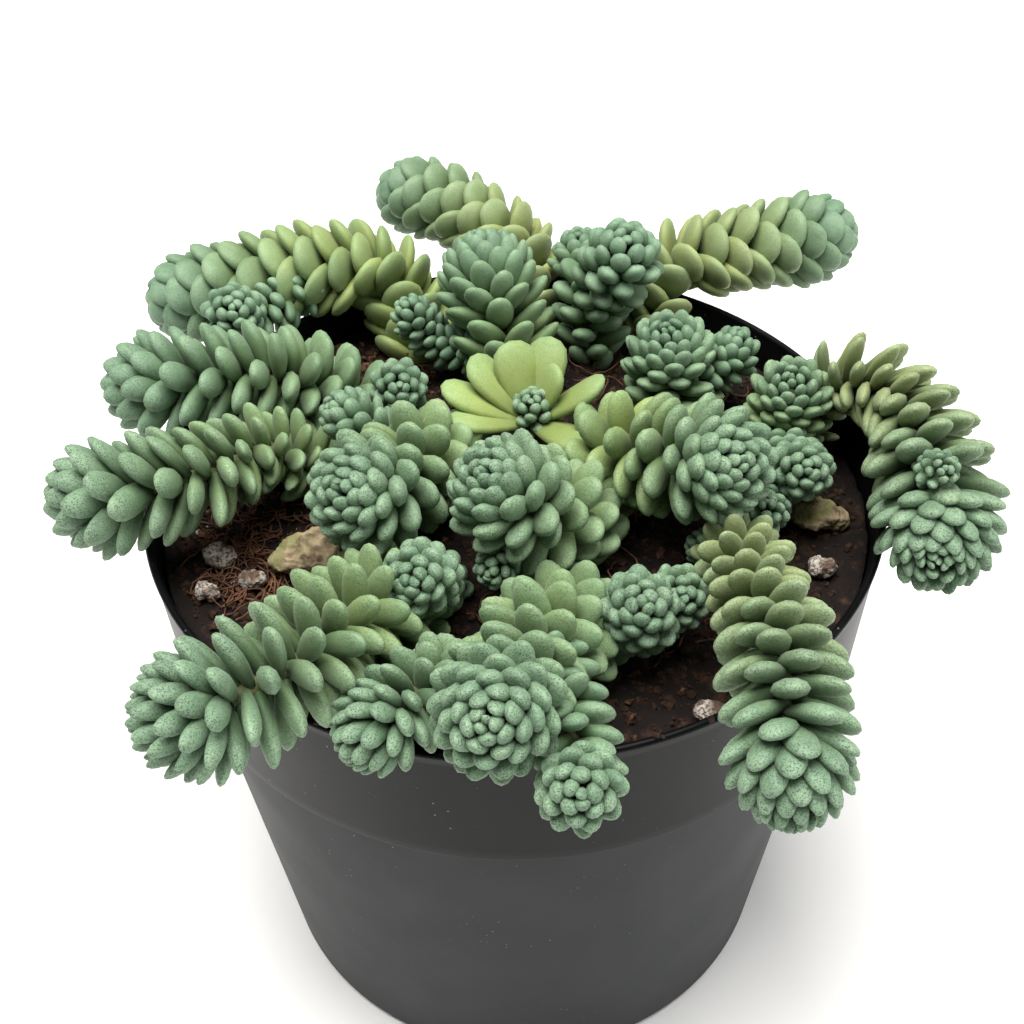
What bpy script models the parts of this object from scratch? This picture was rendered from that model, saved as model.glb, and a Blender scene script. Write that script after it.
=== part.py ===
"""Potted sedum: leafy stonecrop stems standing and trailing in a round black nursery pot.

The stems are thick with fleshy leaves set in a spiral, large along the stem and small in the
bud at its tip. Each leafy stem, with its side shoots, is one solid with its foot in the soil.
Run it with: blender --background --python part.py
"""

import bisect
import math

import bmesh
import bpy
from mathutils import Matrix, Vector, noise
from mathutils.bvhtree import BVHTree
from mathutils.geometry import delaunay_2d_cdt

MM = 0.001

# Pot, in millimetres: one thin moulded wall, a straight collar above a tapered body.
RIM_RADIUS = 52.5
POT_HEIGHT = 90.0
COLLAR_HEIGHT = 22.0
COLLAR_FOOT_RADIUS = 51.2
STEP_IN = 2.0
BASE_RADIUS = 42.5
WALL = 1.1
FLOOR = 1.8
RIM_ROUND = 0.5
FOOT_ROUND = 1.6
POT_SIDES = 48
SHARP_EDGE = math.radians(30)
DRAIN_HOLES = 6
DRAIN_RADIUS = 3.5
DRAIN_CIRCLE = 31.0
DRAIN_SIDES = 12

# Soil, in millimetres: a plug that fills the pot, with an uneven top a little below the rim.
GAP = 0.3
HOLE_CLEAR = 0.55
SOIL_TOP = 83.5
SOIL_BUMP = 1.7
SOIL_BUMP_WIDTH = 9.0
SOIL_DIP = 3.0
SOIL_DIP_AT = (27.0, -34.0)
SOIL_DIP_WIDTH = 11.0
SOIL_RINGS = 6
SOIL_SIDES = 28

# Leafy stems. The leaves stand in one spiral, raised from the surface of the stem, a little
# larger and fewer than life. A turn is measured round the stem, and a rise along it, both in
# radians of the stem's own radius, so that the leaves keep their proportions into the bud.
GOLDEN_ANGLE = math.radians(137.508)
CORE_RADIUS = 1.3
CORE_SIDES = 6
CORE_TURN = 0.1
ROOM_ROUND_CORE = 0.8
FOOT_DEPTH = 6.0
BARE_FOOT = 1.5
LEAF_RISE = 0.120
TYPICAL_LEAF = 7.5
FINER_ON_LARGE = 0.7
YOUNGEST_LEAF = 0.36
YOUNGEST_ROOT = 0.8
GROWN_AFTER = 0.95
BUD_ANGLE = math.radians(26)
OPEN_ANGLE = math.radians(70)
OPENS_EARLY = 0.7
GROWS_EARLY = 0.8
BUD_SIDES = 5
BUD_TURN = 0.2
BELOW_BUD = 0.7
# The tip of a leaf: three points, each a turn and a rise from its middle, in leaf widths, and
# the share of the leaf's length that it stands out. Between leaves the surface drops to CREASE.
LEAF_TIP = ((-0.66, -0.14, 0.98), (0.66, -0.14, 0.98), (0.0, 0.54, 0.94))
CREASE = 0.50
# Where a leaf comes within LEAF_CLEAR of something else, it gives way until it is clear.
LEAF_CLEAR = 0.45
THINNEST = 1.1
SHRINK = 0.9
MOST_SHRINKS = 60

# Every shoot: the stem it belongs to, the length of its full-grown leaves, and the line of its
# axis from foot to bud, in millimetres. A stem's first shoot stands in the soil, and the others
# branch from it. What comes first keeps its leaves where two stems press together.
SHOOTS = (
    ("stem_centre_back", 12.5, ((3, 11, 84), (4, 13, 89), (3.5, 10, 96))),
    (
        "stem_front", 9.6,
        ((9, -22, 84), (3.5, -35, 92), (-1, -46.5, 96), (-2.5, -52.5, 99),
         (-4, -58.5, 104)),
    ),
    ("stem_front", 6.2, ((4, -37, 94), (5.5, -50.5, 94), (6.5, -55.5, 93), (6, -59, 95.5), (6, -62.5, 99))),
    (
        "stem_front_right", 9.2,
        ((30, -12, 84), (29.5, -22, 92), (30, -40, 99), (29.5, -53, 100),
         (29, -60, 97), (29, -63, 91)),
    ),
    ("stem_front_right", 3.6, ((30, -17, 88), (23, -16, 90))),
    ("stem_centre", 9.6, ((8, -8, 84), (6, -12.5, 92), (1, -17, 98), (-1.5, -17.5, 102), (-3, -20, 107))),
    ("stem_centre", 3.8, ((7, -14, 95), (0, -18, 91), (-4, -25, 93))),
    (
        "stem_centre_right", 9.6,
        ((12, 5, 84), (15, -1, 93), (21.5, -8.5, 98), (26.5, -13, 101),
         (29, -19, 106)),
    ),
    (
        "stem_centre_left", 9.6,
        ((-10, 9, 84), (-13, -1.5, 93), (-16, -11.5, 97), (-19, -16, 100),
         (-21, -20, 105)),
    ),
    ("stem_centre_left", 5.2, ((-12, 0, 94), (-23, 2.5, 98), (-26, 2, 101))),
    (
        "stem_front_left", 10.4,
        ((-14, -18, 84), (-19.5, -30, 93), (-26.5, -45, 100), (-34.5, -51.5, 101),
         (-43, -52.5, 99)),
    ),
    (
        "stem_front_left_low", 6.8,
        ((-6, -33, 84), (-10.5, -43.5, 93), (-14.5, -49.5, 96),
         (-20.5, -52.5, 95)),
    ),
    ("stem_left_low", 9.0, ((-24, 8, 84), (-34, 0, 94), (-42.5, -9.5, 98), (-52, -13, 98), (-62, -10, 95))),
    ("stem_left", 9.3, ((-22, 24, 84), (-31.5, 16, 94), (-41, 12, 98), (-50, 11, 98), (-59, 14, 96))),
    (
        "stem_left_back", 9.0,
        ((-14, 36, 84), (-19, 45.5, 93), (-28.5, 43.5, 99), (-44, 40, 99),
         (-57.5, 38, 95)),
    ),
    ("stem_left_back", 5.6, ((-31, 45, 98), (-39, 32, 96), (-42, 28.5, 98), (-41.5, 23.5, 103))),
    ("stem_back_left", 8.2, ((1, 40, 84), (2.5, 49.5, 93), (-5, 55, 99), (-13.5, 59, 101), (-21, 62, 100))),
    (
        "stem_back_right", 8.4,
        ((24, 38, 84), (26.5, 43.5, 93), (32.5, 44, 99), (44.5, 43, 101),
         (55.5, 44, 101)),
    ),
    ("stem_upper", 9.2, ((1, 20, 84), (-1, 29, 92), (-3, 32.5, 99), (-4.5, 36.5, 106))),
    ("stem_upper", 4.4, ((-1, 24, 92), (-11, 30, 91), (-17, 30, 99))),
    ("stem_upper_right", 8.0, ((13, 36, 84), (14, 37.5, 94), (17, 33.5, 100), (18, 29, 107))),
    ("stem_upper_right", 5.8, ((14, 38, 94), (12, 42.5, 97), (11, 43, 103))),
    ("stem_right_back", 8.4, ((24, 16, 84), (24.5, 19, 93), (23, 16.5, 102))),
    ("stem_right_back", 5.0, ((25, 17, 91), (32.5, 20, 93), (34.5, 19.5, 99))),
    ("stem_right_inner", 6.4, ((38, 8, 84), (40.5, 8.5, 93), (39.5, 5.5, 101))),
    ("stem_right_inner", 5.2, ((38, 8, 88), (39.5, -3.5, 92), (39.5, -11.5, 98))),
    ("stem_right_inner", 3.8, ((38, 3, 89), (34.5, -11, 91), (33.5, -14, 95))),
    (
        "stem_right", 10.2,
        ((42, 15, 84), (48.5, 11.5, 94), (53.5, 1, 99), (55, -11.5, 98), (55, -18, 94.5),
         (54, -23.5, 93.5), (52.5, -28, 96)),
    ),
    ("stem_right", 3.2, ((54.5, -12, 99), (53.5, -18, 103), (53, -20.5, 106))),
    ("stem_front_low_left", 5.8, ((-10, -16, 84), (-12, -24.5, 92), (-13, -31.5, 99))),
    ("stem_front_low_right", 5.8, ((16, -22, 82), (15, -30.5, 91), (14, -36, 99))),
    ("stem_front_low_right", 4.2, ((16, -26, 88), (20.5, -26.5, 90), (21.5, -31.5, 95))),
    ("stem_left_inner", 5.0, ((-17, 16, 84), (-17, 14.5, 92), (-16, 8.5, 99))),
)

# Bark chips and pumice grains on the soil: where they lie, and their length, in millimetres.
LUMP_WIDTH = 0.72
LUMP_ROUGHNESS = 0.30
LUMP_GRAIN = 2.4
CHIP_FLATNESS = 0.5
GRAIN_FLATNESS = 0.7
CHIPS = (
    ("bark_chip_left", (-28.0, -13.0), 11.0),
    ("bark_chip_back", (-3.5, 2.0), 6.0),
    ("bark_chip_right", (43.0, -7.0), 8.0),
)
GRAINS = (
    ("pumice_grain_1", (-41.5, -12.0), 4.6),
    ("pumice_grain_2", (-36.0, -17.0), 4.0),
    ("pumice_grain_3", (-42.0, -19.0), 3.4),
    ("pumice_grain_4", (24.0, -41.0), 4.6),
    ("pumice_grain_5", (42.0, -16.0), 4.2),
    ("pumice_grain_6", (-29.0, 30.0), 4.4),
)


def clear_scene():
    for obj in list(bpy.data.objects):
        bpy.data.objects.remove(obj)


def finish(name, colour, roughness):
    """A plain material of the part's own colour."""
    made = bpy.data.materials.new(name)
    made.use_nodes = True
    shader = made.node_tree.nodes["Principled BSDF"]
    shader.inputs["Base Color"].default_value = (*colour, 1)
    shader.inputs["Roughness"].default_value = roughness
    return made


def solid(name, verts, faces, material=None):
    """An object made of these points, in millimetres, and faces."""
    mesh = bpy.data.meshes.new(name)
    mesh.from_pydata([Vector(v) * MM for v in verts], [], faces)
    if material:
        mesh.materials.append(material)
    obj = bpy.data.objects.new(name, mesh)
    bpy.context.scene.collection.objects.link(obj)
    return obj


def as_polygons(obj):
    """The object's points, in millimetres, and its faces."""
    graph = bpy.context.evaluated_depsgraph_get()
    mesh = obj.evaluated_get(graph).to_mesh()
    return [v.co / MM for v in mesh.vertices], [tuple(p.vertices) for p in mesh.polygons]


def combine(obj, others, operation, solver="EXACT"):
    """Joins the other objects to obj, or cuts them from it, and removes them."""
    group = bpy.data.collections.new("operands")
    bpy.context.scene.collection.children.link(group)
    for other in others:
        group.objects.link(other)
    step = obj.modifiers.new(operation.lower(), "BOOLEAN")
    step.operation = operation
    step.operand_type = "COLLECTION"
    step.collection = group
    step.solver = solver
    graph = bpy.context.evaluated_depsgraph_get()
    made = bpy.data.meshes.new_from_object(obj.evaluated_get(graph))
    obj.modifiers.clear()
    obj.data = made
    for other in others:
        bpy.data.objects.remove(other)
    bpy.data.collections.remove(group)


def turned(name, outline, sides, material):
    """A closed outline of (radius, height) in millimetres, turned once round the vertical axis."""
    shape = bmesh.new()
    ring = [shape.verts.new(Vector((r, 0, z)) * MM) for r, z in outline]
    edges = [shape.edges.new((a, b)) for a, b in zip(ring, ring[1:] + ring[:1])]
    bmesh.ops.spin(
        shape, geom=ring + edges, cent=(0, 0, 0), axis=(0, 0, 1),
        angle=math.tau, steps=sides, use_merge=True,
    )
    bmesh.ops.remove_doubles(shape, verts=shape.verts, dist=MM * 0.01)
    bmesh.ops.dissolve_degenerate(shape, edges=shape.edges, dist=MM * 0.001)
    bmesh.ops.recalc_face_normals(shape, faces=shape.faces)
    mesh = bpy.data.meshes.new(name)
    shape.to_mesh(mesh)
    shape.free()
    mesh.materials.append(material)
    mesh.shade_smooth()
    mesh.set_sharp_from_angle(angle=SHARP_EDGE)
    obj = bpy.data.objects.new(name, mesh)
    bpy.context.scene.collection.objects.link(obj)
    return obj


def pot_outer(height):
    """The radius of the pot's outside at a height above the base."""
    collar_foot = POT_HEIGHT - COLLAR_HEIGHT
    if height >= collar_foot:
        share = (height - collar_foot) / COLLAR_HEIGHT
        return COLLAR_FOOT_RADIUS + (RIM_RADIUS - COLLAR_FOOT_RADIUS) * share
    return BASE_RADIUS + (COLLAR_FOOT_RADIUS - STEP_IN - BASE_RADIUS) * height / collar_foot


def make_pot(material):
    collar_foot = POT_HEIGHT - COLLAR_HEIGHT
    body_top = COLLAR_FOOT_RADIUS - STEP_IN
    outline = [
        (0, 0),
        (BASE_RADIUS - FOOT_ROUND, 0),
        (pot_outer(FOOT_ROUND), FOOT_ROUND),
        (body_top, collar_foot - STEP_IN),
        (COLLAR_FOOT_RADIUS, collar_foot),
        (RIM_RADIUS, POT_HEIGHT - RIM_ROUND),
        (RIM_RADIUS - RIM_ROUND, POT_HEIGHT),
        (RIM_RADIUS - WALL, POT_HEIGHT - RIM_ROUND),
        (COLLAR_FOOT_RADIUS - WALL, collar_foot),
        (body_top - WALL, collar_foot - STEP_IN),
        (pot_outer(FLOOR + FOOT_ROUND) - WALL, FLOOR + FOOT_ROUND),
        (BASE_RADIUS - FOOT_ROUND - WALL, FLOOR),
        (0, FLOOR),
    ]
    pot = turned("pot", outline, POT_SIDES, material)
    drains = []
    for i in range(DRAIN_HOLES):
        middle = Matrix.Rotation(math.tau * i / DRAIN_HOLES, 3, "Z") @ Vector((DRAIN_CIRCLE, 0, 0))
        line = [middle - Vector((0, 0, FLOOR)), middle + Vector((0, 0, 2 * FLOOR))]
        drains.append(solid("drain", *tube(line, DRAIN_RADIUS, DRAIN_SIDES)))
    combine(pot, drains, "DIFFERENCE")
    return pot


def angles(count, start=0.0):
    return [start + math.tau * i / count for i in range(count)]


def soil_height(x, y):
    """How high the soil stands at a point: bumps, and a hollow by the front wall."""
    bump = noise.noise(Vector((x, y, 0)) / SOIL_BUMP_WIDTH) * SOIL_BUMP
    away = math.dist((x, y), SOIL_DIP_AT) / SOIL_DIP_WIDTH
    return SOIL_TOP + bump - SOIL_DIP * math.exp(-away * away)


def make_soil(material):
    """A plug that follows the pot's inside, with a ring-by-ring uneven top."""
    floor = FLOOR + GAP
    collar_foot = POT_HEIGHT - COLLAR_HEIGHT
    edge = COLLAR_FOOT_RADIUS - WALL - GAP
    stations = (
        (BASE_RADIUS - FOOT_ROUND - WALL - GAP, floor),
        (pot_outer(FLOOR + FOOT_ROUND) - WALL - GAP, FLOOR + FOOT_ROUND),
        (edge - STEP_IN, collar_foot - STEP_IN),
        (edge, collar_foot + GAP),
    )
    verts = [Vector((0, 0, floor))]
    for radius, height in stations:
        verts += [Vector((radius * math.cos(a), radius * math.sin(a), height)) for a in angles(SOIL_SIDES)]
    for i in range(SOIL_RINGS, 0, -1):
        radius = edge * i / SOIL_RINGS
        for a in angles(SOIL_SIDES):
            x, y = radius * math.cos(a), radius * math.sin(a)
            verts.append(Vector((x, y, soil_height(x, y))))
    verts.append(Vector((0, 0, soil_height(0, 0))))
    faces = [(0, 1 + (i + 1) % SOIL_SIDES, 1 + i) for i in range(SOIL_SIDES)]
    for row in range(len(stations) + SOIL_RINGS - 1):
        low, high = 1 + row * SOIL_SIDES, 1 + (row + 1) * SOIL_SIDES
        for i in range(SOIL_SIDES):
            j = (i + 1) % SOIL_SIDES
            faces += [(low + i, low + j, high + j), (low + i, high + j, high + i)]
    last = len(verts) - 1
    inner = last - SOIL_SIDES
    faces += [(inner + i, inner + (i + 1) % SOIL_SIDES, last) for i in range(SOIL_SIDES)]
    return solid("soil", verts, faces, material)


def smooth_line(points, step):
    """Points every step along a smooth curve through the given points."""
    points = [Vector(p) for p in points]
    ends = [points[0] * 2 - points[1], *points, points[-1] * 2 - points[-2]]
    line = []
    for a, b, c, d in zip(ends, ends[1:], ends[2:], ends[3:]):
        pieces = max(2, round((c - b).length / step))
        for i in range(pieces):
            t = i / pieces
            first = 2 * b + (c - a) * t
            second = (2 * a - 5 * b + 4 * c - d) * t**2
            third = (3 * b - a - 3 * c + d) * t**3
            line.append((first + second + third) / 2)
    return line + [points[-1]]


def directions(line):
    """The way the line runs at each point, and a side way that turns no more than the line does."""
    ways = [(b - a).normalized() for a, b in zip(line, line[1:])]
    ways = [ways[0]] + [(a + b).normalized() for a, b in zip(ways, ways[1:])] + [ways[-1]]
    side = Vector((0.3, 1, 0.2))
    sides = []
    for way in ways:
        side = (side - side.dot(way) * way).normalized()
        sides.append(side)
    return ways, sides


def tube(line, radius, sides):
    """The points and faces of a round bar along a line, closed at both ends."""
    ways, across = directions(line)
    verts, faces = [], [tuple(range(sides - 1, -1, -1))]
    for point, way, side in zip(line, ways, across):
        other = way.cross(side)
        verts += [point + radius * (math.cos(a) * side + math.sin(a) * other) for a in angles(sides)]
    for row in range(len(line) - 1):
        for i in range(sides):
            j = (i + 1) % sides
            low, high = row * sides, (row + 1) * sides
            faces.append((low + i, low + j, high + j, high + i))
    last = (len(line) - 1) * sides
    faces.append(tuple(range(last, last + sides)))
    return verts, faces


def blend(low, high, share):
    return low + (high - low) * share


class Shoot:
    """One leafy shoot: where its axis runs, and how its leaves open and grow along it."""

    def __init__(self, route, length):
        self.length = length
        self.line = smooth_line(route, 0.5)
        self.ways, self.sides = directions(self.line)
        self.along = [0.0]
        for a, b in zip(self.line, self.line[1:]):
            self.along.append(self.along[-1] + (b - a).length)
        self.top = self.along[-1] - YOUNGEST_ROOT * YOUNGEST_LEAF * length
        self.measure_rise()

    def age(self, along):
        """0 for the youngest leaf in the bud, 1 for a full-grown one."""
        return max(0.0, min(1.0, (self.top - along) / (GROWN_AFTER * self.length)))

    def opening(self, along):
        """How far a leaf leans away from the axis here, and how long it is."""
        age = self.age(along)
        angle = blend(BUD_ANGLE, OPEN_ANGLE, age**OPENS_EARLY)
        return angle, self.length * blend(YOUNGEST_LEAF, 1, age**GROWS_EARLY)

    def measure_rise(self):
        """Tables of the place along the axis against the rise, from the bare foot up to the bud."""
        steps = max(12, round(self.top / 0.25))
        self.places = [blend(BARE_FOOT, self.top, i / steps) for i in range(steps + 1)]
        self.rises = [0.0]
        for low, high in zip(self.places, self.places[1:]):
            (a, reach), (b, next_reach) = self.opening(low), self.opening(high)
            radius, next_radius = reach * math.sin(a), next_reach * math.sin(b)
            climb = high + next_reach * math.cos(b) - low - reach * math.cos(a)
            step = math.hypot(climb, next_radius - radius) / ((radius + next_radius) / 2)
            self.rises.append(self.rises[-1] + step)

    def place(self, rise):
        """The place along the axis at a rise."""
        rise = max(0.0, min(self.rises[-1], rise))
        i = min(len(self.rises) - 2, bisect.bisect_right(self.rises, rise) - 1)
        share = (rise - self.rises[i]) / (self.rises[i + 1] - self.rises[i])
        return blend(self.places[i], self.places[i + 1], share)

    def frame(self, along):
        """The axis point here, its way, and two ways across it."""
        i = min(len(self.line) - 2, max(0, bisect.bisect_right(self.along, along) - 1))
        share = (along - self.along[i]) / (self.along[i + 1] - self.along[i])
        way = self.ways[i].lerp(self.ways[i + 1], share).normalized()
        side = self.sides[i].lerp(self.sides[i + 1], share)
        side = (side - side.dot(way) * way).normalized()
        return self.line[i].lerp(self.line[i + 1], share), way, side, way.cross(side)

    def raised(self, turn, rise, share):
        """A point of the leafy surface: its root, its way out, and how far out it is."""
        along = self.place(rise)
        angle, reach = self.opening(along)
        root, way, side, other = self.frame(along)
        outward = math.cos(turn) * side + math.sin(turn) * other
        return root, math.cos(angle) * way + math.sin(angle) * outward, reach * share

    def core_ring(self, along, below=0.0):
        """A ring of the bare core, in the same form as raised points."""
        root, _, side, other = self.frame(along)
        root = root - Vector((0, 0, below))
        turns = angles(CORE_SIDES, CORE_TURN)
        return [(root, math.cos(a) * side + math.sin(a) * other, CORE_RADIUS) for a in turns]


def triangles_round(points, edges=()):
    """Triangles between points of (turn, rise), where a full turn leads back to the start.

    Each is three of (point, how many whole turns on), and has its middle in the first turn.
    edges, of the same kind, are kept as edges of triangles.
    """
    count = len(points)
    copies = [Vector((turn + math.tau * lap, rise)) for lap in (-1, 0, 1) for turn, rise in points]
    kept = []
    for (i, lap_i), (j, lap_j) in edges:
        for lap in (-1, 0, 1):
            if -1 <= lap + lap_i <= 1 and -1 <= lap + lap_j <= 1:
                kept.append(((lap + lap_i + 1) * count + i, (lap + lap_j + 1) * count + j))
    verts, _, faces, origins, _, _ = delaunay_2d_cdt(copies, kept, [], 0, 1e-7)
    found = [[(origins[i][0] % count, origins[i][0] // count - 1) for i in face] for face in faces]
    middles = [sum(verts[i].x for i in face) / 3 for face in faces]
    return [face for face, middle in zip(found, middles) if 0 <= middle < math.tau]


def creases_between(sites):
    """Where three sites meet, and the edges that part one site from the next."""
    triangles = triangles_round(sites)
    creases, beside, edges = [], {}, []
    for number, face in enumerate(triangles):
        turn = sum(sites[i][0] + math.tau * lap for i, lap in face) / 3
        creases.append((turn, sum(sites[i][1] for i, _ in face) / 3))
        for (i, lap_i), (j, lap_j) in zip(face, face[1:] + face[:1]):
            if (j, i, lap_i - lap_j) in beside:
                other, other_lap = beside[j, i, lap_i - lap_j]
                edges.append(((number, 0), (other, lap_j - other_lap)))
            beside[i, j, lap_j - lap_i] = (number, lap_i)
    return creases, edges


def leafy_surface(shoot, foot):
    """The surface of a leafy shoot: every point's root, way out and distance, and the faces.

    Each leaf stands up to its tip between creases. foot is how far the bare core goes on below
    the start of the axis.
    """
    top = shoot.rises[-1]
    step = LEAF_RISE * (TYPICAL_LEAF / shoot.length) ** FINER_ON_LARGE
    wide = math.sqrt(step)
    count = int((top - wide) / step)
    highest = top - BELOW_BUD * wide
    leaves = [(i * GOLDEN_ANGLE % math.tau, highest - i * step) for i in range(count)]
    rings = [(a, -wide) for a in angles(CORE_SIDES, CORE_TURN)]
    rings += [(a, top) for a in angles(BUD_SIDES, BUD_TURN)]
    creases, edges = creases_between(rings + leaves)
    points = rings + creases
    edges = [((i + len(rings), lap_i), (j + len(rings), lap_j)) for (i, lap_i), (j, lap_j) in edges]
    shares = [CREASE] * len(points)
    for turn, rise in leaves:
        for tip_turn, tip_rise, share in LEAF_TIP:
            points.append((turn + tip_turn * wide, rise + tip_rise * wide))
            shares.append(share)
    faces = [tuple(i for i, _ in face) for face in triangles_round(points, edges)]

    made = shoot.core_ring(BARE_FOOT)
    for (turn, rise), share in list(zip(points, shares))[CORE_SIDES:]:
        made.append(shoot.raised(turn, rise, share))
    first = len(made)
    made += shoot.core_ring(0, foot)
    for i in range(CORE_SIDES):
        j = (i + 1) % CORE_SIDES
        faces += [(first + i, first + j, j), (first + i, j, i)]
    faces.append(tuple(range(first + CORE_SIDES - 1, first - 1, -1)))
    last = len(made)
    root, way, _, _ = shoot.frame(shoot.top)
    made.append((root, way, shoot.length * YOUNGEST_LEAF))
    faces += [(CORE_SIDES + i, CORE_SIDES + (i + 1) % BUD_SIDES, last) for i in range(BUD_SIDES)]
    return made, faces


def tree_of(shapes):
    """One search tree of several (points, faces)."""
    verts, faces = [], []
    for points, polygons in shapes:
        faces += [tuple(i + len(verts) for i in p) for p in polygons]
        verts += points
    return BVHTree.FromPolygons(verts, faces)


def placed(made, extra=0.0):
    """Where the points of a leafy surface are, each moved this much further out."""
    return [root + way * (distance + extra) for root, way, distance in made]


def pressed_clear(made, faces, obstacles, movable):
    """Shortens the leaves that come too near an obstacle, or each other where the stem bends."""
    for _ in range(MOST_SHRINKS):
        swollen = BVHTree.FromPolygons(placed(made, LEAF_CLEAR), faces)
        crossing = {i for i, _ in swollen.overlap(obstacles)}
        own = BVHTree.FromPolygons(placed(made), faces)
        crossing |= {i for i, j in own.overlap(own) if not set(faces[i]) & set(faces[j])}
        short = {i for face in crossing for i in faces[face] if i in movable and made[i][2] > THINNEST}
        if not short:
            break
        for i in short:
            root, way, distance = made[i]
            made[i] = (root, way, max(THINNEST, distance * SHRINK))
    return placed(made), faces


def joined_shoots():
    """The shoots by stem, the start of every side shoot moved onto the axis of the first."""
    stems = {}
    for stem, length, route in SHOOTS:
        route = [Vector(p) for p in route]
        if stem in stems:
            axis = smooth_line(stems[stem][0][0], 1.0)
            route[0] = min(axis, key=lambda p: (p - route[0]).length)
        else:
            route[0].z = soil_height(route[0].x, route[0].y) + GAP
        stems.setdefault(stem, []).append((route, length))
    return stems


def make_stems(fixed, material):
    """Every leafy stem as one solid, its leaves clear of the other stems and of what is fixed."""
    stems = joined_shoots()
    room = CORE_RADIUS + ROOM_ROUND_CORE
    cores = {}
    for stem, shoots in stems.items():
        cores[stem] = [tube(smooth_line(route, 4.0), room, CORE_SIDES) for route, _ in shoots]
    done = {}
    for stem, shoots in stems.items():
        others = [done.get(other, cores[other]) for other in stems if other != stem]
        obstacles = tree_of([*fixed, *(shape for shapes in others for shape in shapes)])
        shapes = []
        for route, length in shoots:
            made, faces = leafy_surface(Shoot(route, length), 0 if shapes else FOOT_DEPTH)
            movable = set(range(CORE_SIDES, len(made) - CORE_SIDES - 1))
            shapes.append(pressed_clear(made, faces, obstacles, movable))
        done[stem] = shapes
        first, *rest = [solid(stem, *shape, material) for shape in shapes]
        if rest:
            combine(first, rest, "UNION", "MANIFOLD")


def cut_root_holes(soil):
    """A plain hole in the soil round the foot of each stem."""
    holes = []
    for shoots in joined_shoots().values():
        shoot = Shoot(*shoots[0])
        low = placed(shoot.core_ring(0, FOOT_DEPTH), HOLE_CLEAR)
        high = placed(shoot.core_ring(BARE_FOOT), HOLE_CLEAR)
        way = (shoot.frame(BARE_FOOT)[0] - shoot.frame(0)[0] + Vector((0, 0, FOOT_DEPTH))).normalized()
        low = [v - way * GAP for v in low]
        above = [v + way * 2 * BARE_FOOT for v in high]
        faces = tube([Vector((0, 0, i)) for i in range(3)], 1, CORE_SIDES)[1]
        holes.append(solid("hole", low + high + above, faces))
    combine(soil, holes, "DIFFERENCE")


def lump(name, place, length, flatness, detail, soil_tree, material):
    """A rough chip or grain lying on the soil, lowered until it almost touches."""
    shape = bmesh.new()
    bmesh.ops.create_icosphere(shape, subdivisions=detail, radius=length / 2)
    seed = Vector((*place, length))
    for vert in shape.verts:
        rough = 1 + LUMP_ROUGHNESS * noise.noise(vert.co * LUMP_GRAIN / length + seed)
        vert.co = Vector((vert.co.x, vert.co.y * LUMP_WIDTH, vert.co.z * flatness)) * rough
    verts = [v.co + Vector((*place, POT_HEIGHT)) for v in shape.verts]
    faces = [tuple(v.index for v in f.verts) for f in shape.faces]
    shape.free()
    drops = [v.z - soil_tree.ray_cast(v, Vector((0, 0, -1)))[0].z for v in verts]
    down = Vector((0, 0, min(drops) - GAP))
    solid(name, [v - down for v in verts], faces, material)


def make_lumps(soil, bark, pumice):
    soil_tree = tree_of([as_polygons(soil)])
    for name, place, length in CHIPS:
        lump(name, place, length, CHIP_FLATNESS, 2, soil_tree, bark)
    for name, place, length in GRAINS:
        lump(name, place, length, GRAIN_FLATNESS, 1, soil_tree, pumice)


def main():
    clear_scene()
    black_plastic = finish("black_plastic", (0.022, 0.022, 0.025), 0.4)
    potting_soil = finish("potting_soil", (0.035, 0.018, 0.010), 0.95)
    bark = finish("bark", (0.42, 0.27, 0.14), 0.9)
    pumice = finish("pumice", (0.50, 0.46, 0.42), 0.9)
    green_leaf = finish("green_leaf", (0.16, 0.33, 0.21), 0.55)
    pot = make_pot(black_plastic)
    soil = make_soil(potting_soil)
    cut_root_holes(soil)
    make_lumps(soil, bark, pumice)
    lying = [as_polygons(obj) for obj in bpy.data.objects if obj.name.startswith(("bark", "pumice"))]
    make_stems([as_polygons(pot), as_polygons(soil), *lying], green_leaf)


main()
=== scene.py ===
"""Looks of a potted sedum: a dense stonecrop with fleshy blue-green leaves in a black nursery pot.

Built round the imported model, in metres and in its frame: +Z up, the camera at -Y.
"""

import math

import bmesh
import bpy
import numpy as np
from mathutils import Matrix, Vector, noise
from mathutils.bvhtree import BVHTree


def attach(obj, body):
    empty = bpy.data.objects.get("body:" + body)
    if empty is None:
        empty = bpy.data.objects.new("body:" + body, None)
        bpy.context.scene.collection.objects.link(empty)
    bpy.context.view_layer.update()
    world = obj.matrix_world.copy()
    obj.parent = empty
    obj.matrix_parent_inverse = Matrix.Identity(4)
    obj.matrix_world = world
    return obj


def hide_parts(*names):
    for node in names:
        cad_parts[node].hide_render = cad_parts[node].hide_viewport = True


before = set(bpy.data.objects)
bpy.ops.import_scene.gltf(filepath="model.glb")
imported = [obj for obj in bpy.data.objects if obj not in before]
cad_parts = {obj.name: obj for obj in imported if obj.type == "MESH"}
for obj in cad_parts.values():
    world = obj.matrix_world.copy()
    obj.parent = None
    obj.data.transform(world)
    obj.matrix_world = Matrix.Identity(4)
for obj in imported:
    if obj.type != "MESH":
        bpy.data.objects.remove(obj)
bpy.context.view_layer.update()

# The pot. The real one is a thin nursery pot of black polypropylene, injection-moulded in one
# piece: a straight collar with a rolled lip, a small step under it, a tapered body, and drain
# holes in a floor that stands on a low ring.
MM = 0.001
RIM_RADIUS = 52.5 * MM
POT_HEIGHT = 90 * MM
COLLAR_HEIGHT = 22 * MM
COLLAR_FOOT_RADIUS = 51.2 * MM
STEP_IN = 2.0 * MM
BASE_RADIUS = 42.5 * MM
WALL = 1.1 * MM
FLOOR = 1.8 * MM
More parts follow.
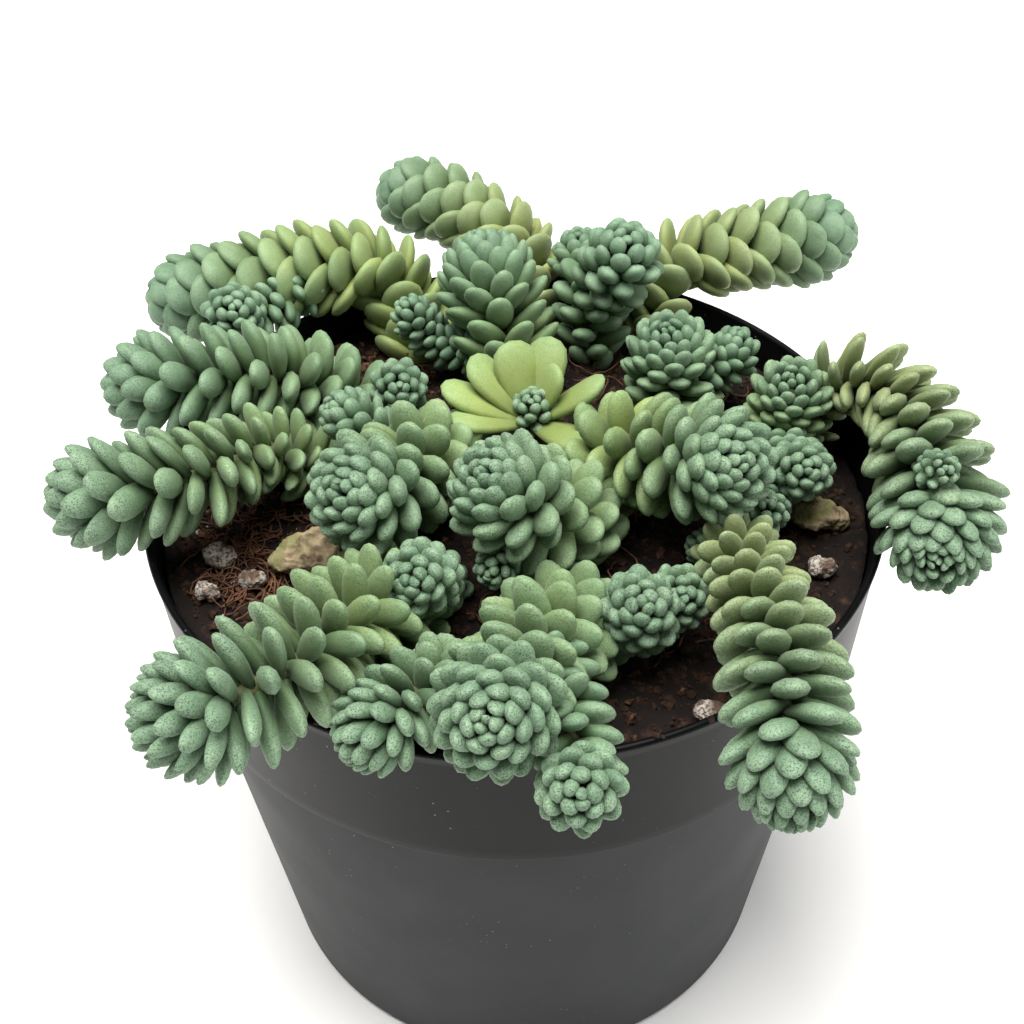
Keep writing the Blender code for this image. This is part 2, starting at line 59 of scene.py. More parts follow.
# The lip's round, how far down it the wall is plain, and how far the wall lies in from the lip
# outside and inside.
LIP_RADIUS = 0.55 * MM
LIP_DEPTH = 2.2 * MM
LIP_OUTSIDE = 0.35 * MM
LIP_INSIDE = 0.3 * MM
COLLAR_ROUND = 0.4 * MM
COLLAR_ROUND_RISE = 0.3 * MM
COLLAR_FLARE = 0.1 * MM
STEP_EDGE = 2 * MM
FOOT_ROUND = 1.6 * MM
FOOT_RECESS = 0.5 * MM
FOOT_RING_INSIDE = 5 * MM
FOOT_RING_OUTSIDE = 4.4 * MM
POT_SIDES = 192
DRAIN_HOLES = 6
DRAIN_RADIUS = 3.5 * MM
DRAIN_CIRCLE = 31 * MM
DRAIN_SIDES = 32


def colour(code):
    """An sRGB hex code as linear red, green, blue and alpha."""
    shares = [int(code[i:i + 2], 16) / 255 for i in (1, 3, 5)]
    return (*[s / 12.92 if s <= 0.04045 else ((s + 0.055) / 1.055) ** 2.4 for s in shares], 1)


def connect(tree, node, links):
    """Gives each input that is named a value or another node's output."""
    for name, value in links.items():
        if isinstance(value, bpy.types.NodeSocket):
            tree.links.new(value, node.inputs[name])
        else:
            node.inputs[name].default_value = value


def add(tree, kind, links=None, **settings):
    """Adds a node with its settings and links."""
    node = tree.nodes.new(kind)
    for name, value in settings.items():
        setattr(node, name, value)
    connect(tree, node, links or {})
    return node


def new_material(name):
    """A material with its tree, its shader, and the piece's own coordinates in metres."""
    made = bpy.data.materials.new(name)
    made.use_nodes = True
    tree = made.node_tree
    place = add(tree, "ShaderNodeTexCoord").outputs["Object"]
    return made, tree, tree.nodes["Principled BSDF"], place


def mesh_of(name, shape):
    """A mesh of a finished bmesh shape, which it frees."""
    mesh = bpy.data.meshes.new(name)
    shape.to_mesh(mesh)
    shape.free()
    return mesh


def new_object(name, mesh, *materials):
    """An object at the origin, in the scene, with its materials."""
    for material in materials:
        mesh.materials.append(material)
    obj = bpy.data.objects.new(name, mesh)
    bpy.context.scene.collection.objects.link(obj)
    return obj


def black_polypropylene():
    """Moulded black polypropylene: satin, faintly pebbled, with pale dust and splashes of soil."""
    made, tree, shader, place = new_material("black_polypropylene")
    # Dust grains about 0.3 mm across, few and mostly in patches some 12 mm wide.
    grains = add(tree, "ShaderNodeTexVoronoi", {"Vector": place, "Scale": 1 / (0.9 * MM)})
    size = add(tree, "ShaderNodeMapRange", {
        "Value": grains.outputs["Distance"], "From Min": 0.16, "From Max": 0.10})
    rare = add(tree, "ShaderNodeSeparateColor", {"Color": grains.outputs["Color"]})
    some = add(tree, "ShaderNodeMath", {0: rare.outputs["Red"], 1: 0.86}, operation="GREATER_THAN")
    patches = add(tree, "ShaderNodeTexNoise", {"Vector": place, "Scale": 1 / (12 * MM), "Detail": 3})
    where = add(tree, "ShaderNodeMapRange", {
        "Value": patches.outputs["Fac"], "From Min": 0.48, "From Max": 0.66})
    dust = size
    for share in (some, where):
        dust = add(tree, "ShaderNodeMath", {0: dust.outputs[0], 1: share.outputs[0]}, operation="MULTIPLY")
    film = add(tree, "ShaderNodeMix", {
        "Factor": where.outputs[0], "A": colour("#060708"), "B": colour("#0D0E10")}, data_type="RGBA")
    # The body under the collar is greyer and less glossy than the collar.
    height = add(tree, "ShaderNodeSeparateXYZ", {"Vector": place}).outputs["Z"]
    foot = POT_HEIGHT - COLLAR_HEIGHT
    under_collar = add(tree, "ShaderNodeMapRange", {
        "Value": height, "From Min": foot, "From Max": foot - 1 * MM})
    skin = add(tree, "ShaderNodeMix", {
        "Factor": under_collar.outputs[0], "A": film.outputs[2], "B": colour("#2D2E30")}, data_type="RGBA")
    body = add(tree, "ShaderNodeMix", {
        "Factor": dust.outputs[0], "A": skin.outputs[2], "B": colour("#8D857C")}, data_type="RGBA")
    satin = add(tree, "ShaderNodeMapRange", {
        "Value": patches.outputs["Fac"], "To Min": 0.32, "To Max": 0.46})
    dulled = add(tree, "ShaderNodeMath", {
        0: under_collar.outputs[0], 1: 0.12, 2: satin.outputs[0]}, operation="MULTIPLY_ADD")
    pebble = add(tree, "ShaderNodeTexNoise", {"Vector": place, "Scale": 1 / (0.5 * MM), "Detail": 2})
    bump = add(tree, "ShaderNodeBump", {
        "Height": pebble.outputs["Fac"], "Distance": 0.02 * MM, "Strength": 0.5})
    connect(tree, shader, {
        "Base Color": body.outputs[2], "Roughness": dulled.outputs[0],
        "Normal": bump.outputs["Normal"], "IOR": 1.49, "Specular IOR Level": 0.1})
    return made


def round_corner(middle, radius, first, last, steps):
    """Points of an arc, as (radius, height), between two angles in degrees."""
    turns = [math.radians(first + (last - first) * i / steps) for i in range(steps + 1)]
    return [(middle[0] + radius * math.cos(a), middle[1] + radius * math.sin(a)) for a in turns]


def pot_outline():
    """The wall's outline from the middle of the underside, out, up, over the lip and back inside."""
    collar_foot = POT_HEIGHT - COLLAR_HEIGHT
    body_top = COLLAR_FOOT_RADIUS - STEP_IN
    lean = (body_top - BASE_RADIUS) / (collar_foot - STEP_IN)
    line = [(0, FOOT_RECESS), (BASE_RADIUS - FOOT_RING_INSIDE, FOOT_RECESS)]
    line += [(BASE_RADIUS - FOOT_RING_OUTSIDE, 0)]
    line += round_corner((BASE_RADIUS - FOOT_ROUND, FOOT_ROUND), FOOT_ROUND, -90, -8, 5)
    line += [(body_top - lean * STEP_EDGE, collar_foot - STEP_IN - STEP_EDGE)]
    line += [(body_top, collar_foot - STEP_IN)]
    corner = (COLLAR_FOOT_RADIUS - COLLAR_ROUND, collar_foot + COLLAR_ROUND_RISE)
    line += round_corner(corner, COLLAR_ROUND, -70, 0, 3)
    line += [(COLLAR_FOOT_RADIUS + COLLAR_FLARE, collar_foot + STEP_EDGE)]
    line += [(RIM_RADIUS - LIP_OUTSIDE, POT_HEIGHT - LIP_DEPTH)]
    line += round_corner((RIM_RADIUS - LIP_RADIUS, POT_HEIGHT - LIP_RADIUS), LIP_RADIUS, -50, 200, 9)
    line += [(RIM_RADIUS - WALL - LIP_INSIDE, POT_HEIGHT - LIP_DEPTH)]
    line += [(COLLAR_FOOT_RADIUS - WALL, collar_foot), (body_top - WALL, collar_foot - STEP_IN)]
    line += [(BASE_RADIUS - WALL, FLOOR + FOOT_ROUND)]
    line += [(BASE_RADIUS - FOOT_ROUND - WALL, FLOOR), (0, FLOOR)]
    return line


def join_rows(shape, rows, start, end):
    """Faces between the rows that go round a shape, and from the first and last row to a point."""
    sides = len(rows[0])
    for i in range(sides):
        j = (i + 1) % sides
        shape.faces.new((start, rows[0][j], rows[0][i]))
        shape.faces.new((end, rows[-1][i], rows[-1][j]))
        for low, high in zip(rows, rows[1:]):
            shape.faces.new((low[i], low[j], high[j], high[i]))


def turn_outline(name, outline, sides):
    """A closed mesh made by turning an outline that starts and ends on the axis."""
    shape = bmesh.new()
    start, end = [shape.verts.new((0, 0, height)) for _, height in (outline[0], outline[-1])]
    turns = [math.tau * i / sides for i in range(sides)]
    rows = []
    for radius, height in outline[1:-1]:
        points = [(radius * math.cos(a), radius * math.sin(a), height) for a in turns]
        rows.append([shape.verts.new(point) for point in points])
    join_rows(shape, rows, start, end)
    return mesh_of(name, shape)


def cut_drain_holes(pot):
    """Round holes through the floor, as the mould's pins leave them."""
    cutters = bpy.data.collections.new("drain_pins")
    bpy.context.scene.collection.children.link(cutters)
    pins = []
    for i in range(DRAIN_HOLES):
        turn = math.tau * i / DRAIN_HOLES
        place = Vector((DRAIN_CIRCLE * math.cos(turn), DRAIN_CIRCLE * math.sin(turn), 0))
        shape = bmesh.new()
        bmesh.ops.create_cone(
            shape, cap_ends=True, segments=DRAIN_SIDES, radius1=DRAIN_RADIUS, radius2=DRAIN_RADIUS,
            depth=4 * FLOOR, matrix=Matrix.Translation(place))
        pin = bpy.data.objects.new("drain_pin", mesh_of("drain_pin", shape))
        cutters.objects.link(pin)
        pins.append(pin)
    cut = pot.modifiers.new("drains", "BOOLEAN")
    cut.operation = "DIFFERENCE"
    cut.operand_type = "COLLECTION"
    cut.collection = cutters
    made = bpy.data.meshes.new_from_object(pot.evaluated_get(bpy.context.evaluated_depsgraph_get()))
    pot.modifiers.clear()
    pot.data = made
    for pin in pins:
        bpy.data.objects.remove(pin)
    bpy.data.collections.remove(cutters)


pot_mesh = turn_outline("nursery_pot", pot_outline(), POT_SIDES)
pot = new_object("nursery_pot", pot_mesh, black_polypropylene())
cut_drain_holes(pot)
pot.data.shade_smooth()
pot.data.set_sharp_from_angle(angle=math.radians(35))
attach(pot, "root")
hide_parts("pot")


# The soil. A dark peat mix poured into the pot and watered in: loose crumbs of peat, with pale
# grains, chips and coir fibre lying in it. It fills the pot to a little under the lip.
SOIL_RADIUS = 50.6 * MM
SOIL_ROWS = 84
SOIL_SIDES = 240
SOIL_GAP = 0.3 * MM
# Past this radius the soil's height is read at it, and a height under this is in a root hole.
SOIL_READ_RADIUS = 49 * MM
SOIL_LOWEST = 79 * MM
# The unevenness of its surface: how wide and how high its clods, lumps and crumbs are, and how
# far their middle lies under the modelled surface, in millimetres.
CLOD_WIDTH, CLOD_RISE = 5, 0.9
LUMP_WIDTH, LUMP_RISE = 2.1, 0.7
CRUMB_WIDTH, CRUMB_RISE = 0.9, 0.8
SURFACE_DROP = 0.1


def damp_peat():
    """Damp peat: near black, with browner and reddish crumbs, and no gloss."""
    made, tree, shader, place = new_material("damp_peat")
    clods = add(tree, "ShaderNodeTexNoise", {"Vector": place, "Scale": 1 / (2.5 * MM), "Detail": 8})
    spread = add(tree, "ShaderNodeMapRange", {
        "Value": clods.outputs["Fac"], "From Min": 0.3, "From Max": 0.75})
    ramp = add(tree, "ShaderNodeValToRGB", {"Fac": spread.outputs[0]})
    ramp.color_ramp.elements[0].color = colour("#0B0705")
    ramp.color_ramp.elements[1].color = colour("#3E2A1D")
    middle = ramp.color_ramp.elements.new(0.55)
    middle.color = colour("#150D09")
    fine = add(tree, "ShaderNodeTexNoise", {"Vector": place, "Scale": 1 / (0.5 * MM), "Detail": 4})
    bump = add(tree, "ShaderNodeBump", {"Height": fine.outputs["Fac"], "Distance": 0.4 * MM})
    connect(tree, shader, {
        "Base Color": ramp.outputs["Color"], "Normal": bump.outputs["Normal"],
        "Roughness": 0.9, "Specular IOR Level": 0.25})
    return made


def tree_of(*nodes):
    """One search tree of several CAD nodes."""
    verts, faces = [], []
    for node in nodes:
        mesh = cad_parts[node].data
        faces += [tuple(i + len(verts) for i in p.vertices) for p in mesh.polygons]
        verts += [v.co for v in mesh.vertices]
    return BVHTree.FromPolygons(verts, faces)


soil_tree = tree_of("soil")


def soil_height(x, y):
    """How high the modelled soil is at a point, with the root holes passed over."""
    reach = math.hypot(x, y)
    inner = min(1, SOIL_READ_RADIUS / reach) if reach else 1
    above = Vector((x * inner, y * inner, POT_HEIGHT + 5 * MM))
    hit = soil_tree.ray_cast(above, Vector((0, 0, -1)))[0]
    return max(hit.z, SOIL_LOWEST)


def rough_height(x, y):
    """The soil's surface with its clods and crumbs."""
    place = Vector((x, y, 0)) / MM
    clods = noise.noise(place / CLOD_WIDTH) * CLOD_RISE + noise.noise(place / LUMP_WIDTH) * LUMP_RISE
    crumbs = abs(noise.noise(place / CRUMB_WIDTH)) * CRUMB_RISE
    return soil_height(x, y) + (clods + crumbs - SURFACE_DROP) * MM


def soil_mesh():
    """The soil as one plug: its uneven top, and its sides a small gap off the pot's wall."""
    shape = bmesh.new()
    rows = []
    for row in range(SOIL_ROWS):
        radius = SOIL_RADIUS * (1 - row / SOIL_ROWS)
        turns = [math.tau * (i + 0.5 * (row % 2)) / SOIL_SIDES for i in range(SOIL_SIDES)]
        points = [(radius * math.cos(a), radius * math.sin(a)) for a in turns]
        rows.append([shape.verts.new((x, y, rough_height(x, y))) for x, y in points])
    body_top = COLLAR_FOOT_RADIUS - STEP_IN
    inner = ((BASE_RADIUS - FOOT_ROUND, FLOOR), (body_top, POT_HEIGHT - COLLAR_HEIGHT - STEP_IN))
    for row, (radius, height) in enumerate(inner):
        share = (radius - WALL - SOIL_GAP) / SOIL_RADIUS
        points = [(share * v.co.x, share * v.co.y, height + SOIL_GAP) for v in rows[-SOIL_ROWS]]
        rows.insert(row, [shape.verts.new(point) for point in points])
    middle = shape.verts.new((0, 0, rough_height(0, 0)))
    for i in range(SOIL_SIDES):
        j = (i + 1) % SOIL_SIDES
        for below, above in zip(rows, rows[1:]):
            shape.faces.new((below[i], below[j], above[j], above[i]))
        shape.faces.new((rows[-1][i], rows[-1][j], middle))
    shape.faces.new(list(reversed(rows[0])))
    return mesh_of("soil", shape)


soil = new_object("peat_mix", soil_mesh(), damp_peat())
soil.data.shade_smooth()
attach(soil, "root")
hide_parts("soil")


# What lies on the soil. The mix is peat crumbs with bark fines, small pale grains of perlite and
# tangles of red-brown coir fibre, all loose and half sunk in where watering left them.
GROUND_REACH = 48.8 * MM
FIBRE_RADIUS = 0.13 * MM
FIBRES = 420
FIBRE_POINTS = 9
# Where the fibres lie, in millimetres: the tangle on the left, and the loose ones round it.
TANGLE_MIDDLE, TANGLE_SPREAD, TANGLE_SHARE = (-36, -14), 9, 0.6
LOOSE_MIDDLE, LOOSE_SPREAD = (0, 0), 26
FIBRE_START_REACH, FIBRE_REACH = 46, 48.5
FIBRE_SEED = 31
# Where crumbs fell on the lip, in degrees round from +X.
CRUMB_TURNS = (-98, -97, -95.5, -94.8, -93, -92.6, -72, -71.4, -118, -64)
CRUMB_SEED = 5


def crumbly(name, dark, light, scale, roughness):
    """Dry matter with a grain, darker in its pits: peat, bark, perlite or coir by its colours."""
    made, tree, shader, place = new_material(name)
    grain = add(tree, "ShaderNodeTexNoise", {"Vector": place, "Scale": 1 / scale, "Detail": 5})
    spread = add(tree, "ShaderNodeMapRange", {
        "Value": grain.outputs["Fac"], "From Min": 0.32, "From Max": 0.68})
    shade = add(tree, "ShaderNodeMix", {
        "Factor": spread.outputs[0], "A": colour(dark), "B": colour(light)}, data_type="RGBA")
    bump = add(tree, "ShaderNodeBump", {"Height": grain.outputs["Fac"], "Distance": 0.3 * scale})
    connect(tree, shader, {
        "Base Color": shade.outputs[2], "Normal": bump.outputs["Normal"],
        "Roughness": roughness, "Specular IOR Level": 0.25})
    return made


def new_tree(name, inputs):
    """A Geometry Nodes tree with its group input and output, and its inputs by name."""
    tree = bpy.data.node_groups.new(name, "GeometryNodeTree")
    tree.interface.new_socket("Geometry", in_out="INPUT", socket_type="NodeSocketGeometry")
    for label, kind in inputs:
        tree.interface.new_socket(label, in_out="INPUT", socket_type="NodeSocket" + kind)
    tree.interface.new_socket("Geometry", in_out="OUTPUT", socket_type="NodeSocketGeometry")
    given = add(tree, "NodeGroupInput").outputs
    return tree, given, add(tree, "NodeGroupOutput")


def run_tree(obj, tree, values):
    """The plain mesh that the tree makes of an object, with its inputs set by identifier."""
    step = obj.modifiers.new("made", "NODES")
    step.node_group = tree
    for item in tree.interface.items_tree:
        if item.in_out == "INPUT" and item.name in values:
            step[item.identifier] = values[item.name]
    made = bpy.data.meshes.new_from_object(obj.evaluated_get(bpy.context.evaluated_depsgraph_get()))
    bpy.data.objects.remove(obj)
    return made


def strewn_tree():
    """Strews a grain over a ground mesh, as thickly as its vertices' share says."""
    tree, given, result = new_tree("strewn grains", (
        ("Grain", "Object"), ("Density", "Float"), ("Smallest", "Float"), ("Largest", "Float"),
        ("Seed", "Int"), ("Finish", "Material")))
    share = add(tree, "GeometryNodeInputNamedAttribute", {"Name": "share"}, data_type="FLOAT")
    thick = add(tree, "ShaderNodeMath", {0: share.outputs[0], 1: given["Density"]}, operation="MULTIPLY")
    spots = add(tree, "GeometryNodeDistributePointsOnFaces", {
        "Mesh": given["Geometry"], "Density": thick.outputs[0], "Seed": given["Seed"]})
    chance = add(tree, "FunctionNodeRandomValue", {"Seed": given["Seed"]}, data_type="FLOAT")
    skewed = add(tree, "ShaderNodeMath", {0: chance.outputs[1], 1: 2.0}, operation="POWER")
    size = add(tree, "ShaderNodeMapRange", {
        "Value": skewed.outputs[0], "To Min": given["Smallest"], "To Max": given["Largest"]})
    turn = add(tree, "FunctionNodeRandomValue", {
        "Min": (0, 0, 0), "Max": (math.tau, math.tau, math.tau), "Seed": given["Seed"]},
        data_type="FLOAT_VECTOR")
    grain = add(tree, "GeometryNodeObjectInfo", {"Object": given["Grain"]})
    placed = add(tree, "GeometryNodeInstanceOnPoints", {
        "Points": spots.outputs[0], "Instance": grain.outputs["Geometry"],
        "Rotation": turn.outputs[0], "Scale": size.outputs[0]})
    whole = add(tree, "GeometryNodeRealizeInstances", {"Geometry": placed.outputs[0]})
    coated = add(tree, "GeometryNodeSetMaterial", {
        "Geometry": whole.outputs[0], "Material": given["Finish"]})
    tree.links.new(coated.outputs[0], result.inputs[0])
    return tree


def grain_pattern(name, flat, seed):
    """One jagged grain, a unit across, flattened and with its corners pushed about."""
    shape = bmesh.new()
    bmesh.ops.create_icosphere(shape, subdivisions=1, radius=0.5)
    for vert in shape.verts:
        push = 1 + 0.45 * noise.noise(vert.co * 3 + Vector((seed, 0, 0)))
        vert.co = Vector((vert.co.x * push, vert.co.y * push * 0.75, vert.co.z * push * flat))
    return new_object(name, mesh_of(name, shape))


def soil_ground(share):
    """The soil's upper face as a ground to strew on, with how thickly, as a share, at each point."""
    shape = bmesh.new()
    shape.from_mesh(soil.data)
    off = [f for f in shape.faces if f.normal.z < 0.2 or f.calc_center_median().xy.length > GROUND_REACH]
    bmesh.ops.delete(shape, geom=off, context="FACES")
    layer = shape.verts.layers.float.new("share")
    for vert in shape.verts:
        vert[layer] = share(vert.co.x / MM, vert.co.y / MM)
    return new_object("ground", mesh_of("ground", shape))


def everywhere(x, y):
    """As thick at one point as at another."""
    return 1.0


def left_and_front(x, y):
    """Thickest on the left, a little thicker towards the front, and thin on the right."""
    return max(0.06, min(1.0, 0.45 - 0.02 * x - 0.004 * y))


def rim_crumbs(dice):
    """A few crumbs of peat that fell on the lip at the front, as one mesh."""
    shape = bmesh.new()
    for turn in CRUMB_TURNS:
        size = dice.uniform(0.5, 1.1) * MM
        angle = math.radians(turn + dice.normal(0, 0.4))
        reach = RIM_RADIUS - dice.uniform(0.2, 0.9) * MM
        spot = Vector((reach * math.cos(angle), reach * math.sin(angle), POT_HEIGHT + 0.2 * size))
        made = bmesh.ops.create_icosphere(shape, subdivisions=1, radius=size / 2)["verts"]
        for vert in made:
            vert.co = spot + vert.co * (1 + 0.4 * noise.noise(vert.co / size * 5 + spot / MM))
    return mesh_of("rim_crumbs", shape)


def fibre_tree():
    """Turns chains of edges into thin round fibres."""
    tree, given, result = new_tree("coir fibres", (
        ("Fibre Radius", "Float"), ("Sides", "Int"), ("Finish", "Material")))
    line = add(tree, "GeometryNodeMeshToCurve", {"Mesh": given["Geometry"]})
    ring = add(tree, "GeometryNodeCurvePrimitiveCircle", {
        "Resolution": given["Sides"], "Radius": given["Fibre Radius"]})
    tube = add(tree, "GeometryNodeCurveToMesh", {
        "Curve": line.outputs[0], "Profile Curve": ring.outputs[0], "Fill Caps": True})
    whole = add(tree, "GeometryNodeRealizeInstances", {"Geometry": tube.outputs[0]})
    coated = add(tree, "GeometryNodeSetMaterial", {
        "Geometry": whole.outputs[0], "Material": given["Finish"]})
    tree.links.new(coated.outputs[0], result.inputs[0])
    return tree


def fibre_lines(dice):
    """Loose curling fibres that lie on the soil, most of them in the tangle on the left."""
    verts, edges = [], []
    while len(verts) < FIBRES * FIBRE_POINTS:
        tangled = dice.random() < TANGLE_SHARE
        middle, spread = (TANGLE_MIDDLE, TANGLE_SPREAD) if tangled else (LOOSE_MIDDLE, LOOSE_SPREAD)
        x, y = middle[0] + dice.normal(0, spread), middle[1] + dice.normal(0, spread)
        if math.hypot(x, y) > FIBRE_START_REACH:
            continue
        heading = dice.uniform(0, math.tau)
        curl = dice.normal(0, 0.5)
        step = dice.uniform(0.5, 1.3)
        lift = dice.uniform(0.2, 1.6)
        first = len(verts)
        for i in range(FIBRE_POINTS):
            reach = min(1, FIBRE_REACH / max(1e-6, math.hypot(x, y)))
            spot = (x * reach * MM, y * reach * MM)
            rise = lift * math.sin(math.pi * i / (FIBRE_POINTS - 1)) + 0.1
            verts.append((*spot, rough_height(*spot) + rise * MM))
            heading += curl + dice.normal(0, 0.25)
            x, y = x + step * math.cos(heading), y + step * math.sin(heading)
        edges += [(i, i + 1) for i in range(first, len(verts) - 1)]
    mesh = bpy.data.meshes.new("fibre_lines")
    mesh.from_pydata(verts, edges, [])
    return new_object("fibre_lines", mesh)


# What is strewn: where it lies, a grain's thickness for its length, how many lie on a square
# centimetre, its smallest and largest grain in millimetres, its seed and its finish.
STREWN = {
    "peat_crumbs": (everywhere, 0.8, 55, 0.5, 2.2, 11,
                    ("peat_crumb", "#0D0805", "#3A2619", 0.7 * MM, 0.9)),
    "bark_fines": (left_and_front, 0.35, 12, 0.8, 3.4, 10,
                   ("bark_fine", "#22150D", "#6A4A33", 0.9 * MM, 0.85)),
    "perlite_grains": (left_and_front, 0.8, 1.8, 0.5, 1.9, 14,
                       ("perlite", "#6E6258", "#BDB6AC", 0.6 * MM, 0.9)),
}
strewing = strewn_tree()
for name, (share, flat, per_cm2, smallest, largest, seed, finish) in STREWN.items():
    grain = grain_pattern("grain", flat, seed)
    mesh = run_tree(soil_ground(share), strewing, {
        "Grain": grain, "Density": per_cm2 / (10 * MM) ** 2, "Smallest": smallest * MM,
        "Largest": largest * MM, "Seed": seed, "Finish": crumbly(*finish)})
    bpy.data.objects.remove(grain)
    piece = new_object(name, mesh)
    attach(piece, "root")
lip_mesh = rim_crumbs(np.random.default_rng(CRUMB_SEED))
lip_crumbs = new_object("rim_crumbs", lip_mesh, bpy.data.materials["peat_crumb"])
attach(lip_crumbs, "root")
fibre_mesh = run_tree(fibre_lines(np.random.default_rng(FIBRE_SEED)), fibre_tree(), {
    "Fibre Radius": FIBRE_RADIUS, "Sides": 5,
    "Finish": crumbly("coir", "#2E1A10", "#6E4C36", 1.5 * MM, 0.7)})
fibres = new_object("coir_fibres", fibre_mesh)
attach(fibres, "root")


# Bark chips and pumice. Broken lumps mixed into the peat, some come up to the surface: bark is
# weathered tan with a little moss, and pumice is pale grey and full of small pores.
def weathered_bark():
    """Old conifer bark: tan, ridged, darker in its cracks, with olive moss in patches."""
    made, tree, shader, place = new_material("weathered_bark")
    ridges = add(tree, "ShaderNodeTexNoise", {"Vector": place, "Scale": 1 / (2.2 * MM), "Detail": 7})
    ramp = add(tree, "ShaderNodeValToRGB", {"Fac": ridges.outputs["Fac"]})
    for end, position, tone in zip(ramp.color_ramp.elements, (0.34, 0.62), ("#3B2516", "#9A8A6C")):
        end.position, end.color = position, colour(tone)
    tuft = add(tree, "ShaderNodeTexNoise", {"Vector": place, "Scale": 1 / (3.5 * MM), "Detail": 4})
    where = add(tree, "ShaderNodeMapRange", {
        "Value": tuft.outputs["Fac"], "From Min": 0.44, "From Max": 0.56, "To Max": 0.75})
    shade = add(tree, "ShaderNodeMix", {
        "Factor": where.outputs[0], "A": ramp.outputs["Color"], "B": colour("#7D7C50")}, data_type="RGBA")
    bump = add(tree, "ShaderNodeBump", {"Height": ridges.outputs["Fac"], "Distance": 0.8 * MM})
    connect(tree, shader, {
        "Base Color": shade.outputs[2], "Normal": bump.outputs["Normal"], "Roughness": 0.9})
    return made


def porous_pumice():
    """Pumice: glassy foam broken rough, so a matt pale grey, pitted with pores 0.3 to 0.5 mm wide."""
    made, tree, shader, place = new_material("porous_pumice")
    pores = add(tree, "ShaderNodeTexNoise", {"Vector": place, "Scale": 1 / (0.45 * MM), "Detail": 3})
    depth = add(tree, "ShaderNodeMapRange", {
        "Value": pores.outputs["Fac"], "From Min": 0.36, "From Max": 0.52})
    stain = add(tree, "ShaderNodeTexNoise", {"Vector": place, "Scale": 1 / (2 * MM), "Detail": 5})
    soiled = add(tree, "ShaderNodeMapRange", {
        "Value": stain.outputs["Fac"], "From Min": 0.38, "From Max": 0.62})
    body = add(tree, "ShaderNodeMix", {
        "Factor": soiled.outputs[0], "A": colour("#5E4A3A"), "B": colour("#B5ADA3")}, data_type="RGBA")
    shade = add(tree, "ShaderNodeMix", {
        "Factor": depth.outputs[0], "A": colour("#4C4038"), "B": body.outputs[2]}, data_type="RGBA")
    bump = add(tree, "ShaderNodeBump", {"Height": depth.outputs[0], "Distance": 0.12 * MM})
    connect(tree, shader, {
        "Base Color": shade.outputs[2], "Normal": bump.outputs["Normal"], "Roughness": 0.95})
    return made


# The bumps of a broken face, large to small: the height of each kind, as a share of the depth
# that is asked for, and how many times finer than the grain it is.
LUMP_BUMPS = ((1, 1), (0.5, 2.3), (0.3, 5.1))


def broken_lump(node, cuts, depth, grain):
    """The modelled lump with its flat faces broken up by cracks and knobs."""
    shape = bmesh.new()
    shape.from_mesh(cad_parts[node].data)
    bmesh.ops.remove_doubles(shape, verts=shape.verts, dist=0.01 * MM)
    bmesh.ops.subdivide_edges(shape, edges=shape.edges, cuts=cuts, use_grid_fill=True, smooth=0.6)
    bmesh.ops.triangulate(shape, faces=shape.faces)
    shape.normal_update()
    moves = []
    for vert in shape.verts:
        place = vert.co / grain
        bumps = sum(part * noise.noise(place * finer) for part, finer in LUMP_BUMPS)
        moves.append(vert.normal * bumps * depth)
    for vert, move in zip(shape.verts, moves):
        vert.co += move
    return mesh_of(node, shape)


# Each kind of lump: its finish, the cuts across a modelled face, and its bumps' depth and width.
lump_kinds = (
    ("bark", weathered_bark(), 9, 0.8 * MM, 2.6 * MM),
    ("pumice", porous_pumice(), 6, 0.45 * MM, 1.1 * MM))
for kind, finish, cuts, depth, grain in lump_kinds:
    for node in [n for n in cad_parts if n.startswith(kind)]:
        piece = new_object("broken_" + node, broken_lump(node, cuts, depth, grain), finish)
        piece.data.shade_smooth()
        piece.data.set_sharp_from_angle(angle=math.radians(40))
        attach(piece, "root")
        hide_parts(node)


# The leafy stems. Each is a thin green stem with fleshy leaves set in one spiral: full-grown
# leaves stand out along it, and at its tip they shrink and close into a rosette. They grow from
# the soil, stand or trail over the rim, and press each other aside where they meet.
GOLDEN_ANGLE = math.radians(137.508)
# By the kind of shoot: a leaf's width as a share of its length, its thickness as a share of its
# width, how far apart leaves stand for their length, how far they open in degrees, and how many
# are in bud on a long-leaved shoot.
LEAF_FORMS = {
    "plump": (0.53, 0.58, 0.049, 68, 49),
    "small": (0.60, 0.68, 0.072, 66, 24),
    "finger": (0.52, 0.54, 0.051, 64, 54),
    "splayed": (0.42, 0.62, 0.048, 76, 58),
    "slender": (0.49, 0.56, 0.048, 70, 60),
    "tower": (0.47, 0.56, 0.050, 63, 46),
    "broad": (0.84, 0.38, 0.058, 52, 30),
}
# The loose rosette in the middle, leaf by leaf: which way it points round from +X and how far it
# rises, in degrees, and its length and width in millimetres.
OPEN_LEAVES = (
    (150, 30, 12.0, 6.8), (172, 14, 13.5, 6.4), (116, 46, 11.0, 7.0), (70, 40, 11.5, 6.4),
    (22, 58, 8.4, 5.2), (-5, 30, 12.0, 5.6), (-165, 6, 12.0, 5.4), (-50, 4, 11.5, 6.0),
)
